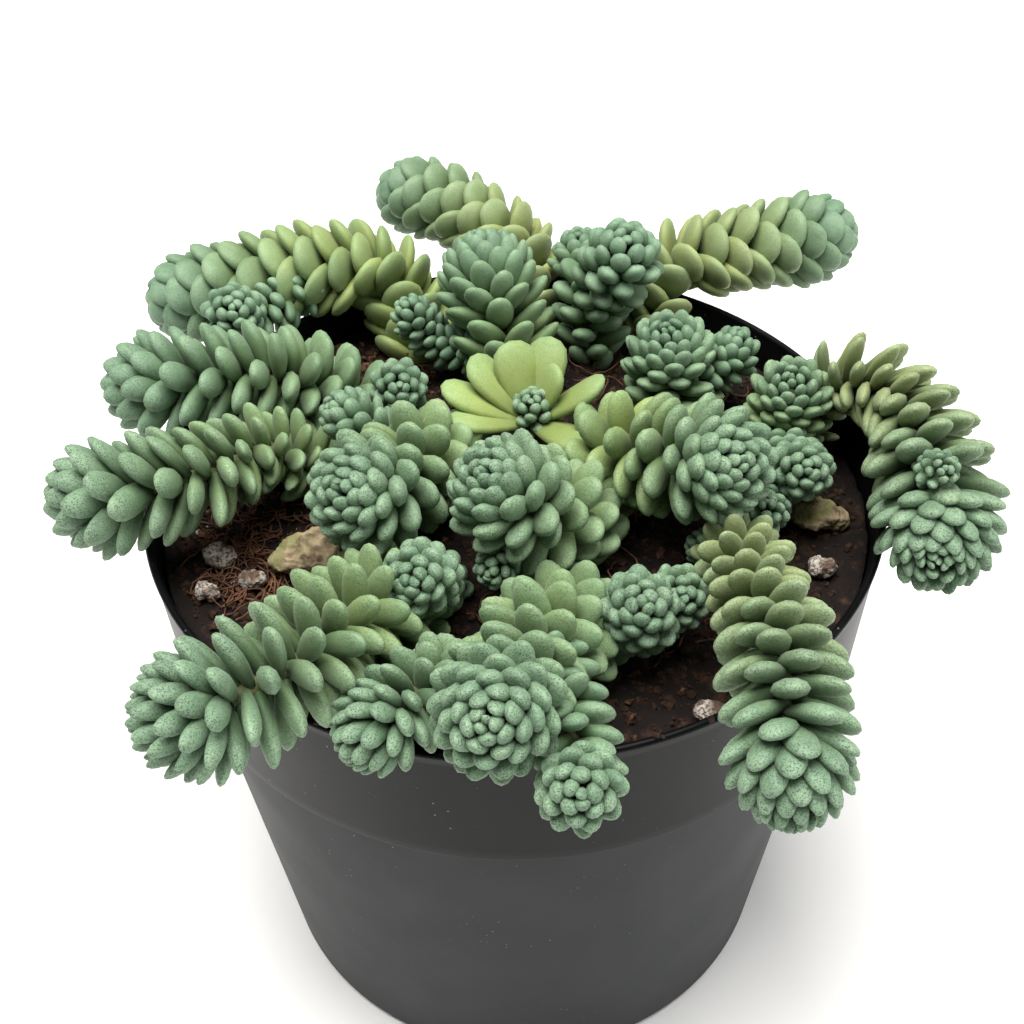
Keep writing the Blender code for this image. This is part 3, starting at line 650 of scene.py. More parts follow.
# Every shoot: its stem, its leaves' form and full length, how yellow and how tan its oldest
# leaves are, and the line of its axis from foot to bud. Lengths are in millimetres.
SHOOTS = (
    ("stem_centre_back", "open", 13.0, 1.0, 0.0, ((3, 11, 84), (4, 11, 89), (3, 8, 95))),
    ("stem_centre_back", "small", 4.2, 0.2, 0.0, ((4, 11, 89), (3.5, 9, 92), (2.8, 6.2, 97.5))),
    ("stem_front", "plump", 9.6, 0.5, 0.0,
     ((9, -22, 84), (3.5, -35, 92), (-1, -46.5, 96), (-2.5, -52.5, 99), (-4, -58.5, 104))),
    ("stem_front", "small", 6.2, 0.1, 0.0,
     ((4, -37, 94), (5.5, -50.5, 94), (6.5, -55.5, 92), (6.3, -59.5, 94.3), (6.2, -63.5, 97.8))),
    ("stem_front_right", "finger", 9.0, 0.6, 0.3,
     ((30, -12, 84), (29.5, -22, 92), (30, -40, 98.5), (29.7, -52, 99), (29.3, -60, 96),
      (28.6, -65.5, 93.2))),
    ("stem_front_right", "small", 3.6, 0.0, 0.0, ((30, -17, 88), (23, -16, 90))),
    ("stem_centre", "plump", 9.6, 0.5, 0.0,
     ((8, -8, 84), (6, -12.5, 92), (1, -17, 98), (-2, -17.5, 102), (-4.2, -20, 107))),
    ("stem_centre", "small", 3.8, 0.0, 0.0, ((7, -14, 95), (0, -18, 91), (-4, -25, 93))),
    ("stem_centre_right", "plump", 9.6, 0.85, 0.0,
     ((12, 5, 84), (15, -1, 93), (21.5, -8.5, 98), (26.5, -13, 101), (29, -19, 106))),
    ("stem_centre_left", "plump", 9.6, 0.6, 0.0,
     ((-10, 9, 84), (-13, -1.5, 93), (-16.5, -11.5, 97), (-20.3, -16, 100), (-22.8, -20, 104.6))),
    ("stem_centre_left", "small", 5.2, 0.1, 0.0, ((-12, 0, 94), (-23, 2.5, 98), (-26, 2, 101))),
    ("stem_front_left", "splayed", 9.4, 0.55, 0.0,
     ((-14, -18, 84), (-19, -30, 92), (-26, -44.5, 98.8), (-34.5, -51.5, 99.8), (-43.6, -52.8, 98.6))),
    ("stem_front_left_low", "plump", 6.8, 0.3, 0.0,
     ((-6, -33, 84), (-10.5, -43.5, 93), (-14.8, -50, 95.5), (-20.5, -54.6, 94))),
    ("stem_left_low", "finger", 9.4, 0.5, 0.0,
     ((-24, 8, 84), (-34, 0, 94), (-42.5, -9.5, 98), (-52, -13, 98), (-62, -10, 95))),
    ("stem_left", "plump", 9.3, 0.3, 0.0,
     ((-22, 24, 84), (-31.5, 16, 94), (-41, 12, 98), (-50, 11, 98), (-59, 14, 96))),
    ("stem_left_back", "broad", 10.0, 1.0, 0.1,
     ((-14, 36, 84), (-19, 44, 92), (-28.5, 42.5, 97), (-44, 38.5, 97), (-58, 36.5, 93.5))),
    ("stem_left_back", "small", 5.6, 0.1, 0.0,
     ((-31, 45, 98), (-39, 32, 96), (-42, 28.5, 98), (-41.5, 23.5, 103))),
    ("stem_back_left", "broad", 8.8, 0.9, 0.3,
     ((1, 40, 84), (2.5, 49.5, 92.5), (-5, 55, 98), (-13.5, 59, 100.3), (-22, 62, 99.2))),
    ("stem_back_right", "broad", 9.4, 0.9, 0.3,
     ((24, 38, 84), (26.5, 43.5, 92), (32.5, 43.5, 96.8), (44.5, 42.5, 100), (56.3, 43.5, 101.4))),
    ("stem_upper", "tower", 10.6, 0.5, 0.0, ((1, 20, 84), (-1, 29, 92), (-3, 32.5, 99.5), (-4.8, 36, 107.8))),
    ("stem_upper", "small", 4.4, 0.0, 0.0, ((-1, 24, 92), (-11, 30, 91), (-17, 30, 99))),
    ("stem_upper_right", "small", 7.6, 0.2, 0.0,
     ((13, 36, 84), (14, 38, 94), (17, 34.5, 101), (18, 31, 109.3))),
    ("stem_upper_right", "small", 5.8, 0.2, 0.0, ((14, 38, 94), (12, 42.5, 97), (11, 43, 103))),
    ("stem_right_back", "plump", 8.4, 0.3, 0.0, ((24, 16, 84), (24.5, 19, 93), (23, 16.5, 102))),
    ("stem_right_back", "small", 5.0, 0.1, 0.0, ((25, 17, 91), (32.5, 20, 93), (34.5, 19.5, 99))),
    ("stem_right_inner", "plump", 7.0, 0.7, 0.0, ((38, 8, 84), (40.5, 8.5, 93), (39.5, 5.5, 101))),
    ("stem_right_inner", "small", 5.2, 0.1, 0.0, ((38, 8, 88), (39.5, -3.5, 92), (39.5, -11.5, 98))),
    ("stem_right_inner", "small", 3.8, 0.0, 0.0, ((38, 3, 89), (34.5, -11, 91), (33.5, -14, 95))),
    ("stem_right", "slender", 10.0, 0.6, 0.35,
     ((42, 15, 84), (48.5, 11.5, 94), (53.5, 1, 99), (55.2, -11.5, 98), (55.4, -17.5, 95.3),
      (54.4, -23, 94.2), (53, -27.8, 95.8))),
    ("stem_right", "small", 3.2, 0.0, 0.0, ((54.5, -12, 99), (54.2, -17.5, 102.5), (54, -20.5, 105.5))),
    ("stem_front_low_left", "small", 5.8, 0.1, 0.0, ((-10, -16, 84), (-12, -24.5, 92), (-13, -31.5, 99))),
    ("stem_front_low_right", "small", 6.0, 0.1, 0.0, ((16, -22, 82), (15.5, -30.5, 91), (15, -36.3, 99))),
    ("stem_front_low_right", "small", 5.0, 0.1, 0.0, ((16, -26, 88), (20, -27, 90), (20.6, -32, 95.4))),
    ("stem_left_inner", "small", 5.0, 0.1, 0.0, ((-17, 16, 84), (-17, 14.5, 92), (-16, 8.5, 99))),
)
STEM_RADIUS = 1.1 * MM
AXIS_STEP = 0.5 * MM
BARE_FOOT = 1.5 * MM
LEAF_SEED = 1096
# The youngest leaf's length as a share of a full-grown one's, and a full-grown leaf's length as
# a share of the length that the shoot's row gives.
YOUNGEST = 0.33
LEAF_REACH = 0.90
# How unlike a shoot's leaves are: the spread of their turn in radians, of their opening in
# degrees, and of their length, width and thickness as a share.
TURN_SPREAD = 0.035
OPENING_SPREAD = 2.5
SIZE_SPREAD = 0.03
# How far a leaf's tip bends up, as a share of its length, when young and when grown.
YOUNG_BEND, GROWN_BEND, BEND_SPREAD = 0.22, 0.05, 0.02
# From what age a leaf's colour turns, and how much older it is when it has turned whole.
FADE_FROM, FADE_OVER = 0.12, 0.5
# The loose rosette's leaves: how far under its axis's end they meet and how far out from there
# they start, their thickness as a share of their width, and their bend.
OPEN_DROP, OPEN_START = 2.5 * MM, 0.8 * MM
OPEN_THICKNESS, OPEN_BEND = 0.42, 0.12
# The columns of a leaf's row of numbers. Its root is a place, and its way and face are directions.
ROOT, WAY, FACE, SIZE = slice(0, 3), slice(3, 6), slice(6, 9), slice(9, 12)
WIDTH, THICKNESS, LENGTH, BEND, TINT, YELLOW, TAN, OLD = range(9, 17)


def ease(share):
    """A share from 0 to 1, starting and ending gently."""
    share = max(0.0, min(1.0, share))
    return share * share * (3 - 2 * share)


def blend(low, high, share):
    """The value at a share of the way from one to another."""
    return low + (high - low) * share


def aged(old, start, over, change):
    """What a leaf's size is multiplied by at its age, for a change from one age on."""
    return 1 + change * ease((old - start) / over)


def across(way, rough):
    """The direction square to a way that lies nearest to a rough one."""
    return (rough - rough.dot(way) * way).normalized()


def smooth_axis(points, step):
    """Points every step along a smooth curve through the given points."""
    points = [Vector(p) for p in points]
    ends = [points[0] * 2 - points[1], *points, points[-1] * 2 - points[-2]]
    line = []
    for a, b, c, d in zip(ends, ends[1:], ends[2:], ends[3:]):
        pieces = max(2, round((c - b).length / step))
        for i in range(pieces):
            t = i / pieces
            first = 2 * b + (c - a) * t
            second = (2 * a - 5 * b + 4 * c - d) * t**2
            third = (3 * b - a - 3 * c + d) * t**3
            line.append((first + second + third) / 2)
    return line + [points[-1]]


def grow_leaves(axis, form, length, yellow, tan, dice):
    """The leaves of one shoot, youngest first, as rows of numbers.

    The tips of the leaves in bud lie on a dome. Below it each leaf stands a step further down
    the axis, and a leaf is as old as its distance from the tip, as a share of the axis.
    """
    width_share, thick_share, pitch, open_angle, young = LEAF_FORMS[form]
    ways = [(b - a).normalized() for a, b in zip(axis, axis[1:])]
    ways = [ways[0]] + [(a + b).normalized() for a, b in zip(ways, ways[1:])] + [ways[-1]]
    sides = [across(ways[0], Vector((0.3, 1, 0.2)))]
    for way in ways[1:]:
        sides.append(across(way, sides[-1]))
    spots = [0.0]
    for a, b in zip(axis, axis[1:]):
        spots.append(spots[-1] + (b - a).length)
    hand = dice.choice((-1, 1))
    start = dice.uniform(0, math.tau)
    reach = length * LEAF_REACH
    opened = math.radians(open_angle)
    fewest, full_from = (0.55, 3) if form == "small" else (0.4, 7)
    young = round(young * blend(fewest, 1, min(1, (length / MM - 3) / full_from)))
    skin = 0.7 * STEM_RADIUS * min(1, length / (7 * MM))
    dome = reach * math.sin(opened) + skin
    leaves = []
    along = spots[-1]
    count = 0
    while along > BARE_FOOT:
        grown = min(1, (count + 0.4) / young)
        if grown < 1:
            tilt = math.acos(1 - (count / young) ** 1.4)
            size = reach * math.sqrt(YOUNGEST**2 + (1 - YOUNGEST**2) * math.sin(tilt) ** 2)
            angle = opened * (2 * tilt / math.pi) ** 0.85
            along = spots[-1] - dome * (1 - math.cos(tilt)) - size * math.cos(angle)
            out = dome * math.sin(tilt) - size * math.sin(angle)
        else:
            size, angle, out = reach, opened, skin
            along -= pitch * length * (1 + 0.5 * ease((0.4 - along / spots[-1]) / 0.4))
        old = 1 - max(0, along) / spots[-1]
        i = min(len(axis) - 2, max(0, int(np.searchsorted(spots, along)) - 1))
        share = (along - spots[i]) / (spots[i + 1] - spots[i])
        way = ways[i].lerp(ways[i + 1], share).normalized()
        side = across(way, sides[i].lerp(sides[i + 1], share))
        turn = start + hand * count * GOLDEN_ANGLE + dice.normal(0, TURN_SPREAD) * grown
        outward = math.cos(turn) * side + math.sin(turn) * way.cross(side)
        angle += math.radians(dice.normal(0, OPENING_SPREAD)) * grown
        if form == "slender":
            angle *= aged(old, 0.32, 0.25, -0.34)
        leaf_way = math.cos(angle) * way + math.sin(angle) * outward
        face = across(leaf_way, way)
        size *= 1 + dice.normal(0, SIZE_SPREAD) * grown
        if form == "plump":
            size *= aged(old, 0.55, 0.4, 0.12)
        elif form == "finger":
            size *= aged(old, 0.30, 0.3, -0.18)
        # A young leaf is narrower, by a power of how grown it is, and rounder across.
        narrow = {"small": 0.16, "plump": 0.24, "tower": 0.24, "broad": 0.24}.get(form, 0.34)
        width = reach * width_share * grown**narrow * blend(0.9, 1, grown)
        width *= 1 + dice.normal(0, SIZE_SPREAD)
        width *= aged(old, 0.55, 0.4, 0.12 if form == "plump" else -0.12)
        if form in ("finger", "slender"):
            width *= aged(old, 0.35, 0.3, -0.24)
        thick = width * blend(min(1, thick_share + 0.24), thick_share, grown)
        thick *= 1 + dice.normal(0, SIZE_SPREAD)
        root = axis[i].lerp(axis[i + 1], share) + outward * out
        fade = ease((old - FADE_FROM) / FADE_OVER) * (0.9 + dice.normal(0, 0.12))
        bend = blend(YOUNG_BEND, GROWN_BEND, grown**2) + dice.normal(0, BEND_SPREAD)
        leaves.append((*root, *leaf_way, *face, width, thick, size, bend, dice.normal(0, 0.5),
                       yellow * fade, tan * fade, old))
        count += 1
    return leaves


def open_leaves(axis, dice):
    """The broad pale leaves of the loose rosette, in the same rows of numbers."""
    leaves = []
    for turn, rise, length, width in OPEN_LEAVES:
        turn, rise = math.radians(turn), math.radians(rise)
        way = Vector((math.cos(rise) * math.cos(turn), math.cos(rise) * math.sin(turn), math.sin(rise)))
        face = across(way, Vector((0, 0, 1)))
        root = axis[-1] - Vector((0, 0, OPEN_DROP)) + way * OPEN_START
        leaves.append((*root, *way, *face, width * MM, OPEN_THICKNESS * width * MM, length * MM,
                       OPEN_BEND, dice.normal(0, 0.4), 0.9 + dice.normal(0, 0.08), 0, 0.9))
    return leaves


dice = np.random.default_rng(LEAF_SEED)
stem_axes, leaf_rows, leaf_stems = {}, [], []
for stem, form, length, yellow, tan, route in SHOOTS:
    route = [Vector(p) * MM for p in route]
    if stem in stem_axes:
        trunk = stem_axes[stem][0]
        route[0] = min(trunk, key=lambda p: (p - route[0]).length)
    else:
        route[0].z = soil_height(route[0].x, route[0].y)
    axis = smooth_axis(route, AXIS_STEP)
    if form == "open":
        grown = open_leaves(axis, dice)
    else:
        grown = grow_leaves(axis, form, length * MM, yellow, tan, dice)
    leaf_rows += grown
    leaf_stems += [(stem, len(stem_axes.get(stem, ())))] * len(grown)
    stem_axes.setdefault(stem, []).append(axis)
leaves = np.array(leaf_rows)

# The four balls that stand for a leaf, two at its middle and two near its tip: how far along the
# leaf each lies, how far to its side, and how large it is for the leaf's thickness.
LEAF_BALLS = ((0.5, 1, 1.0), (0.5, -1, 1.0), (0.82, 0.75, 0.9), (0.82, -0.75, 0.9))
# How far apart two balls are kept, as a share of their radii, in one shoot and in two.
SHOOT_SPREAD, NEIGHBOUR_SPREAD = 0.82, 1.02
# What a leaf gives way at each step: how much of an overlap with a leaf or with something fixed
# it makes good, how far it springs back, and how much it shortens, down to its shortest.
LEAF_PUSH, WALL_PUSH, SPRING_BACK, SHORTENING = 0.3, 0.5, 0.04, 0.3
SHORTEST_LEAF = 0.72
PRESS_STEPS = 24
# Where the middle of a leaf's balls lies along it, and how near two such middles are, as a share
# of both lengths, when the leaves can touch.
BALLS_MIDDLE, NEAR_SHARE = 0.66, 0.62
# How near to a ball something fixed is looked for, and up to what height over the lip.
FIXED_REACH, FIXED_RISE = 6 * MM, 7 * MM


def square_to(ways, rough):
    """The same as across, for arrays of directions."""
    square = rough - (rough * ways).sum(axis=1)[:, None] * ways
    return square / np.linalg.norm(square, axis=1)[:, None]


def press_apart(leaves, shoots, firm):
    """Turns leaves about their roots, away from each other and from the pot and the soil.

    Leaves that are pressed together give way step by step, and may still touch. Firm leaves
    push the others and stay as they are.
    """
    roots, faces = leaves[:, ROOT], leaves[:, FACE].copy()
    ways, lengths = leaves[:, WAY].copy(), leaves[:, LENGTH].copy()
    first_ways, first_lengths = ways.copy(), lengths.copy()
    shares, places, sizes = np.array(LEAF_BALLS).T
    sideways = 0.5 * (leaves[:, WIDTH] - leaves[:, THICKNESS])[:, None] * places
    radii = 0.5 * leaves[:, THICKNESS][:, None] * sizes
    middles = roots + ways * lengths[:, None] * BALLS_MIDDLE
    near_i, near_j = [], []
    for i in range(len(leaves) - 1):
        away = np.linalg.norm(middles[i + 1:] - middles[i], axis=1)
        found = np.nonzero(away < NEAR_SHARE * (lengths[i] + lengths[i + 1:]))[0] + i + 1
        near_i += [i] * len(found)
        near_j += list(found)
    near_i, near_j = np.array(near_i), np.array(near_j)
    spread = np.where(shoots[near_i] == shoots[near_j], SHOOT_SPREAD, NEIGHBOUR_SPREAD)
    fixed = tree_of("pot", "soil", *[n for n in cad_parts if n.startswith(("bark", "pumice"))])
    balls = range(len(LEAF_BALLS))
    for _ in range(PRESS_STEPS):
        centres = roots[:, None] + ways[:, None] * (lengths[:, None] * shares)[:, :, None]
        centres += np.cross(ways, faces)[:, None] * sideways[:, :, None]
        moves = np.zeros_like(centres)
        for a in balls:
            for b in balls:
                gap = centres[near_i, a] - centres[near_j, b]
                away = np.maximum(np.sqrt((gap * gap).sum(axis=1)), 1e-9)
                over = (radii[near_i, a] + radii[near_j, b]) * spread - away
                use = np.nonzero(over > 0)[0]
                push = gap[use] / away[use, None] * over[use, None] * LEAF_PUSH
                for number, sign, ball in ((near_i, 1, a), (near_j, -1, b)):
                    for k in range(3):
                        moves[:, ball, k] += sign * np.bincount(number[use], push[:, k], len(leaves))
        for a in balls:
            for i in np.nonzero(centres[:, a, 2] < POT_HEIGHT + FIXED_RISE)[0]:
                centre = Vector(centres[i, a])
                spot, normal, _, _ = fixed.find_nearest(centre, FIXED_REACH)
                if spot is None:
                    continue
                depth = radii[i, a] - (centre - spot).dot(normal)
                if depth > 0 and (centre - spot).length < 2 * radii[i, a]:
                    moves[i, a] += np.array(normal) * depth * WALL_PUSH
        turn = (moves * shares[None, :, None] * lengths[:, None, None]).sum(axis=1)
        turn = turn / (lengths**2 * (shares**2).sum())[:, None]
        shorter = np.minimum(0, (moves * ways[:, None]).sum(axis=2).mean(axis=1)) / lengths
        turn[firm], shorter[firm] = 0, 0
        ways = ways + turn + SPRING_BACK * (first_ways - ways)
        ways /= np.linalg.norm(ways, axis=1)[:, None]
        lengths = lengths * (1 + SHORTENING * shorter)
        lengths = np.clip(lengths, SHORTEST_LEAF * first_lengths, first_lengths)
        faces = square_to(ways, leaves[:, FACE])
    out = leaves.copy()
    out[:, WAY], out[:, FACE], out[:, LENGTH] = ways, faces, lengths
    return out


shoot_numbers = {key: i for i, key in enumerate(dict.fromkeys(leaf_stems))}
leaf_shoots = np.array([shoot_numbers[key] for key in leaf_stems])
# The loose rosette, set leaf by leaf, is the firm one.
firm = np.array([key == ("stem_centre_back", 0) for key in leaf_stems])
leaves = press_apart(leaves, leaf_shoots, firm)

# Where a leaf is tried against the pot's wall, as shares of its length, and the middle of the
# wall with its clearance to either side.
TRIED_ALONG = (0.3, 0.5, 0.7, 0.85, 1.0)
WALL_MIDDLE = 51.5 * MM
WALL_CLEARANCE = 1 * MM


def clear_of_rim(leaf):
    """Whether a leaf misses the pot's wall; those that grew against it have dropped off."""
    for share in TRIED_ALONG:
        x, y, z = leaf[ROOT] + leaf[WAY] * leaf[LENGTH] * share
        off_wall = abs(math.hypot(x, y) - WALL_MIDDLE)
        below_lip = z < POT_HEIGHT + 0.4 * leaf[THICKNESS]
        if below_lip and off_wall < WALL_CLEARANCE + 0.5 * leaf[THICKNESS]:
            return False
    return True


kept = [i for i, leaf in enumerate(leaves) if clear_of_rim(leaf)]
leaves, leaf_stems = leaves[kept], [leaf_stems[i] for i in kept]

# The leaf that is repeated, a unit long: where its rings lie, its sides, where its root ends,
# how wide its first ring is, how round its tip is, and how full it is above and below.
LEAF_RINGS = (0.0, 0.14, 0.32, 0.52, 0.72, 0.87, 0.96)
LEAF_SIDES = 10
ROOT_END = -0.04
ROOT_WIDTH = 0.58
TIP_ROUNDNESS = 0.55
UPPER_FULLNESS, LOWER_FULLNESS = 0.86, 1.1
# How many points at an axis's end lie in its bud, and which of the others the stem goes through.
BUD_POINTS = 12
STEM_STRIDE = 3


def leaf_pattern(name, widest, bluntness):
    """One leaf, a unit long along +Z and a unit wide and thick, flatter on its upper side, +Y."""
    shape = bmesh.new()
    along = shape.verts.layers.float.new("along")
    rows = []
    for t in LEAF_RINGS:
        if t < widest:
            swell = ROOT_WIDTH + (1 - ROOT_WIDTH) * math.sin(0.5 * math.pi * t / widest)
        else:
            swell = (1 - ((t - widest) / (1 - widest)) ** bluntness) ** TIP_ROUNDNESS
        row = []
        for i in range(LEAF_SIDES):
            a = math.tau * i / LEAF_SIDES
            fullness = UPPER_FULLNESS if math.sin(a) > 0 else LOWER_FULLNESS
            vert = shape.verts.new((0.5 * math.cos(a) * swell, 0.5 * math.sin(a) * swell * fullness, t))
            vert[along] = t
            row.append(vert)
        rows.append(row)
    root, tip = shape.verts.new((0, 0, ROOT_END)), shape.verts.new((0, 0, 1))
    tip[along] = 1
    join_rows(shape, rows, root, tip)
    mesh = mesh_of(name, shape)
    mesh.shade_smooth()
    return new_object(name, mesh)


def leafy_stem_tree():
    """Turns points that carry a leaf's way, face and size into leaves, and axis edges into stem."""
    tree, given, result = new_tree("leafy stem", (
        ("Leaf", "Object"), ("Stem Radius", "Float"), ("Stem Sides", "Int"),
        ("Leaf Finish", "Material"), ("Stem Finish", "Material")))
    held = {}
    for name, kind in (
            ("on_axis", "BOOLEAN"), ("way", "FLOAT_VECTOR"), ("face", "FLOAT_VECTOR"),
            ("size", "FLOAT_VECTOR"), ("along", "FLOAT"), ("bend", "FLOAT")):
        attribute = add(tree, "GeometryNodeInputNamedAttribute", {"Name": name}, data_type=kind)
        held[name] = attribute.outputs[0]
    off_axis = add(tree, "FunctionNodeBooleanMath", {0: held["on_axis"]}, operation="NOT")
    line = add(tree, "GeometryNodeMeshToCurve", {
        "Mesh": given["Geometry"], "Selection": held["on_axis"]})
    ring = add(tree, "GeometryNodeCurvePrimitiveCircle", {
        "Resolution": given["Stem Sides"], "Radius": given["Stem Radius"]})
    stem = add(tree, "GeometryNodeCurveToMesh", {
        "Curve": line.outputs[0], "Profile Curve": ring.outputs[0], "Fill Caps": True})
    stem = add(tree, "GeometryNodeSetMaterial", {
        "Geometry": stem.outputs[0], "Material": given["Stem Finish"]})
    points = add(tree, "GeometryNodeMeshToPoints", {
        "Mesh": given["Geometry"], "Selection": off_axis.outputs[0]})
    turn = add(tree, "FunctionNodeAxesToRotation", {
        "Primary Axis": held["way"], "Secondary Axis": held["face"]},
        primary_axis="Z", secondary_axis="Y")
    leaf = add(tree, "GeometryNodeObjectInfo", {"Object": given["Leaf"]})
    placed = add(tree, "GeometryNodeInstanceOnPoints", {
        "Points": points.outputs[0], "Instance": leaf.outputs["Geometry"],
        "Rotation": turn.outputs[0], "Scale": held["size"]})
    whole = add(tree, "GeometryNodeRealizeInstances", {"Geometry": placed.outputs[0]})
    # A leaf's tip curls up towards its face, as the square of the distance from its root.
    square = add(tree, "ShaderNodeMath", {0: held["along"], 1: 2.0}, operation="POWER")
    lift = add(tree, "ShaderNodeMath", {0: square.outputs[0], 1: held["bend"]}, operation="MULTIPLY")
    shift = add(tree, "ShaderNodeVectorMath", {
        0: held["face"], "Scale": lift.outputs[0]}, operation="SCALE")
    curled = add(tree, "GeometryNodeSetPosition", {
        "Geometry": whole.outputs[0], "Offset": shift.outputs[0]})
    curled = add(tree, "GeometryNodeSetMaterial", {
        "Geometry": curled.outputs[0], "Material": given["Leaf Finish"]})
    joined = add(tree, "GeometryNodeJoinGeometry")
    tree.links.new(stem.outputs[0], joined.inputs[0])
    tree.links.new(curled.outputs[0], joined.inputs[0])
    tree.links.new(joined.outputs[0], result.inputs[0])
    return tree


def bloomed_leaf():
    """A stonecrop leaf: matt and waxy, its green under a pale bloom, stippled with dark dots.

    Its skin is rough with papillae: pale waxy grains with dark green pits between them, about
    0.2 mm apart, a little coarser than real so that they show.
    """
    made, tree, shader, place = new_material("bloomed_leaf")
    along, tint, yellow, tan, old = [
        add(tree, "ShaderNodeAttribute", attribute_name=name).outputs["Fac"]
        for name in ("along", "tint", "yellow", "tan", "old")]
    clouds = add(tree, "ShaderNodeTexNoise", {"Vector": place, "Scale": 1 / (4 * MM), "Detail": 3})
    patches = add(tree, "ShaderNodeTexNoise", {"Vector": place, "Scale": 1 / (1.6 * MM), "Detail": 2})
    cells = add(tree, "ShaderNodeTexVoronoi", {"Vector": place, "Scale": 1 / (0.22 * MM)})
    chance = add(tree, "ShaderNodeSeparateColor", {"Color": cells.outputs["Color"]})
    depth = add(tree, "ShaderNodeSeparateXYZ", {"Vector": place})
    # How much of each effect there is, by its cause: as the cause goes from one value to another,
    # the effect goes from one share to another.
    share = {}
    for name, cause, start, end, low, high in (
            ("mottle", clouds.outputs["Fac"], 0.3, 0.7, 0, 1),
            ("fresh root", along, 0.75, 0.1, 0, 0.55),
            ("green tip", along, 0.5, 1.0, 0, 1),
            # The root is painted darker, as painted shade down between the leaves, and more so in bud.
            ("painted root shade", along, 0.82, 0.25, 0, 0.9),
            ("painted shade while young", old, 0.10, 0.55, 1, 0.5),
            ("rough towards the tip", along, 0.15, 0.85, 0.25, 1),
            ("rough in patches", patches.outputs["Fac"], 0.32, 0.62, 0.65, 1),
            ("rough in front", depth.outputs["Y"], -10 * MM, 35 * MM, 1, 0.4),
            ("rough while young", old, 0.2, 0.8, 1, 0.5),
            ("pit", cells.outputs["Distance"], 0.62, 0.30, 0, 1),
            ("pit's depth", chance.outputs["Red"], 0.0, 0.7, 0.25, 1),
            ("powder", clouds.outputs["Fac"], 0.35, 0.65, 0.06, 0.16),
            # The bloom thickens towards the tip, partly real bloom and partly a painted highlight on the tips
            # that catch the light.
            ("powder and painted highlight towards the tip", along, 0.45, 1.0, 0.3, 1.5)):
        share[name] = add(tree, "ShaderNodeMapRange", {
            "Value": cause, "From Min": start, "From Max": end, "To Min": low, "To Max": high}).outputs[0]
    for name, first, second in (
            ("painted shade", "painted root shade", "painted shade while young"),
            ("rough on the leaf", "rough towards the tip", "rough in patches"),
            ("rough on the plant", "rough in front", "rough while young"),
            ("rough", "rough on the leaf", "rough on the plant"),
            ("one pit", "pit", "pit's depth"),
            ("pitted", "rough", "one pit"),
            ("film", "powder", "powder and painted highlight towards the tip")):
        share[name] = add(tree, "ShaderNodeMath", {
            0: share[first], 1: share[second]}, operation="MULTIPLY").outputs[0]
    bloom = add(tree, "ShaderNodeMath", {
        0: share["rough"], 1: 0.13, 2: share["film"]}, operation="MULTIPLY_ADD")
    dark = add(tree, "ShaderNodeMath", {0: share["pitted"], 1: 0.78}, operation="MULTIPLY")
    bright = add(tree, "ShaderNodeMath", {0: tint, 1: 0.10, 2: 1.0}, operation="MULTIPLY_ADD")
    yellowed, powder = [
        add(tree, "ShaderNodeMix", {
            "Factor": by, "A": colour(low), "B": colour(high)}, data_type="RGBA").outputs[2]
        for by, low, high in (
            (share["green tip"], "#8C9B4C", "#6C8C54"), (yellow, "#BCD0AE", "#BFC78C"))]
    # The leaf's own colours laid over each other, then its brightness, which no share rules, then
    # painted shade on its root, down between its neighbours, its bloom, thicker towards the tip partly as a
    # painted highlight, and the pits in it.
    skin = colour("#42654D")
    for by, over in (
            (share["mottle"], colour("#557A60")), (share["fresh root"], colour("#527430")),
            (yellow, yellowed), (tan, colour("#9A8B62")), (None, bright.outputs[0]),
            (share["painted shade"], colour("#1C3A1C")), (bloom.outputs[0], powder),
            (dark.outputs[0], colour("#1F3A27"))):
        if by is None:
            skin = add(tree, "ShaderNodeHueSaturation", {"Value": over, "Color": skin}).outputs["Color"]
        else:
            skin = add(tree, "ShaderNodeMix", {
                "Factor": by, "A": skin, "B": over}, data_type="RGBA").outputs[2]
    bump = add(tree, "ShaderNodeBump", {
        "Height": share["pitted"], "Distance": 0.05 * MM, "Strength": 0.8}, invert=True)
    connect(tree, shader, {
        "Base Color": skin, "Normal": bump.outputs["Normal"], "Roughness": 0.6,
        "Specular IOR Level": 0.35, "Subsurface Weight": 0.08, "Subsurface Radius": (0.6, 1.0, 0.35),
        "Subsurface Scale": 1.2 * MM, "Sheen Weight": 0.15, "Sheen Roughness": 0.5,
        "Sheen Tint": colour("#D5E8CF")})
    return made


def young_bark():
    """The stem's own skin: smooth and green, with browner streaks."""
    made, tree, shader, place = new_material("young_bark")
    streaks = add(tree, "ShaderNodeTexNoise", {"Vector": place, "Scale": 1 / (1.5 * MM), "Detail": 4})
    shade = add(tree, "ShaderNodeMix", {
        "Factor": streaks.outputs["Fac"], "A": colour("#4C5E30"), "B": colour("#6B6440")}, data_type="RGBA")
    connect(tree, shader, {"Base Color": shade.outputs[2], "Roughness": 0.7})
    return made


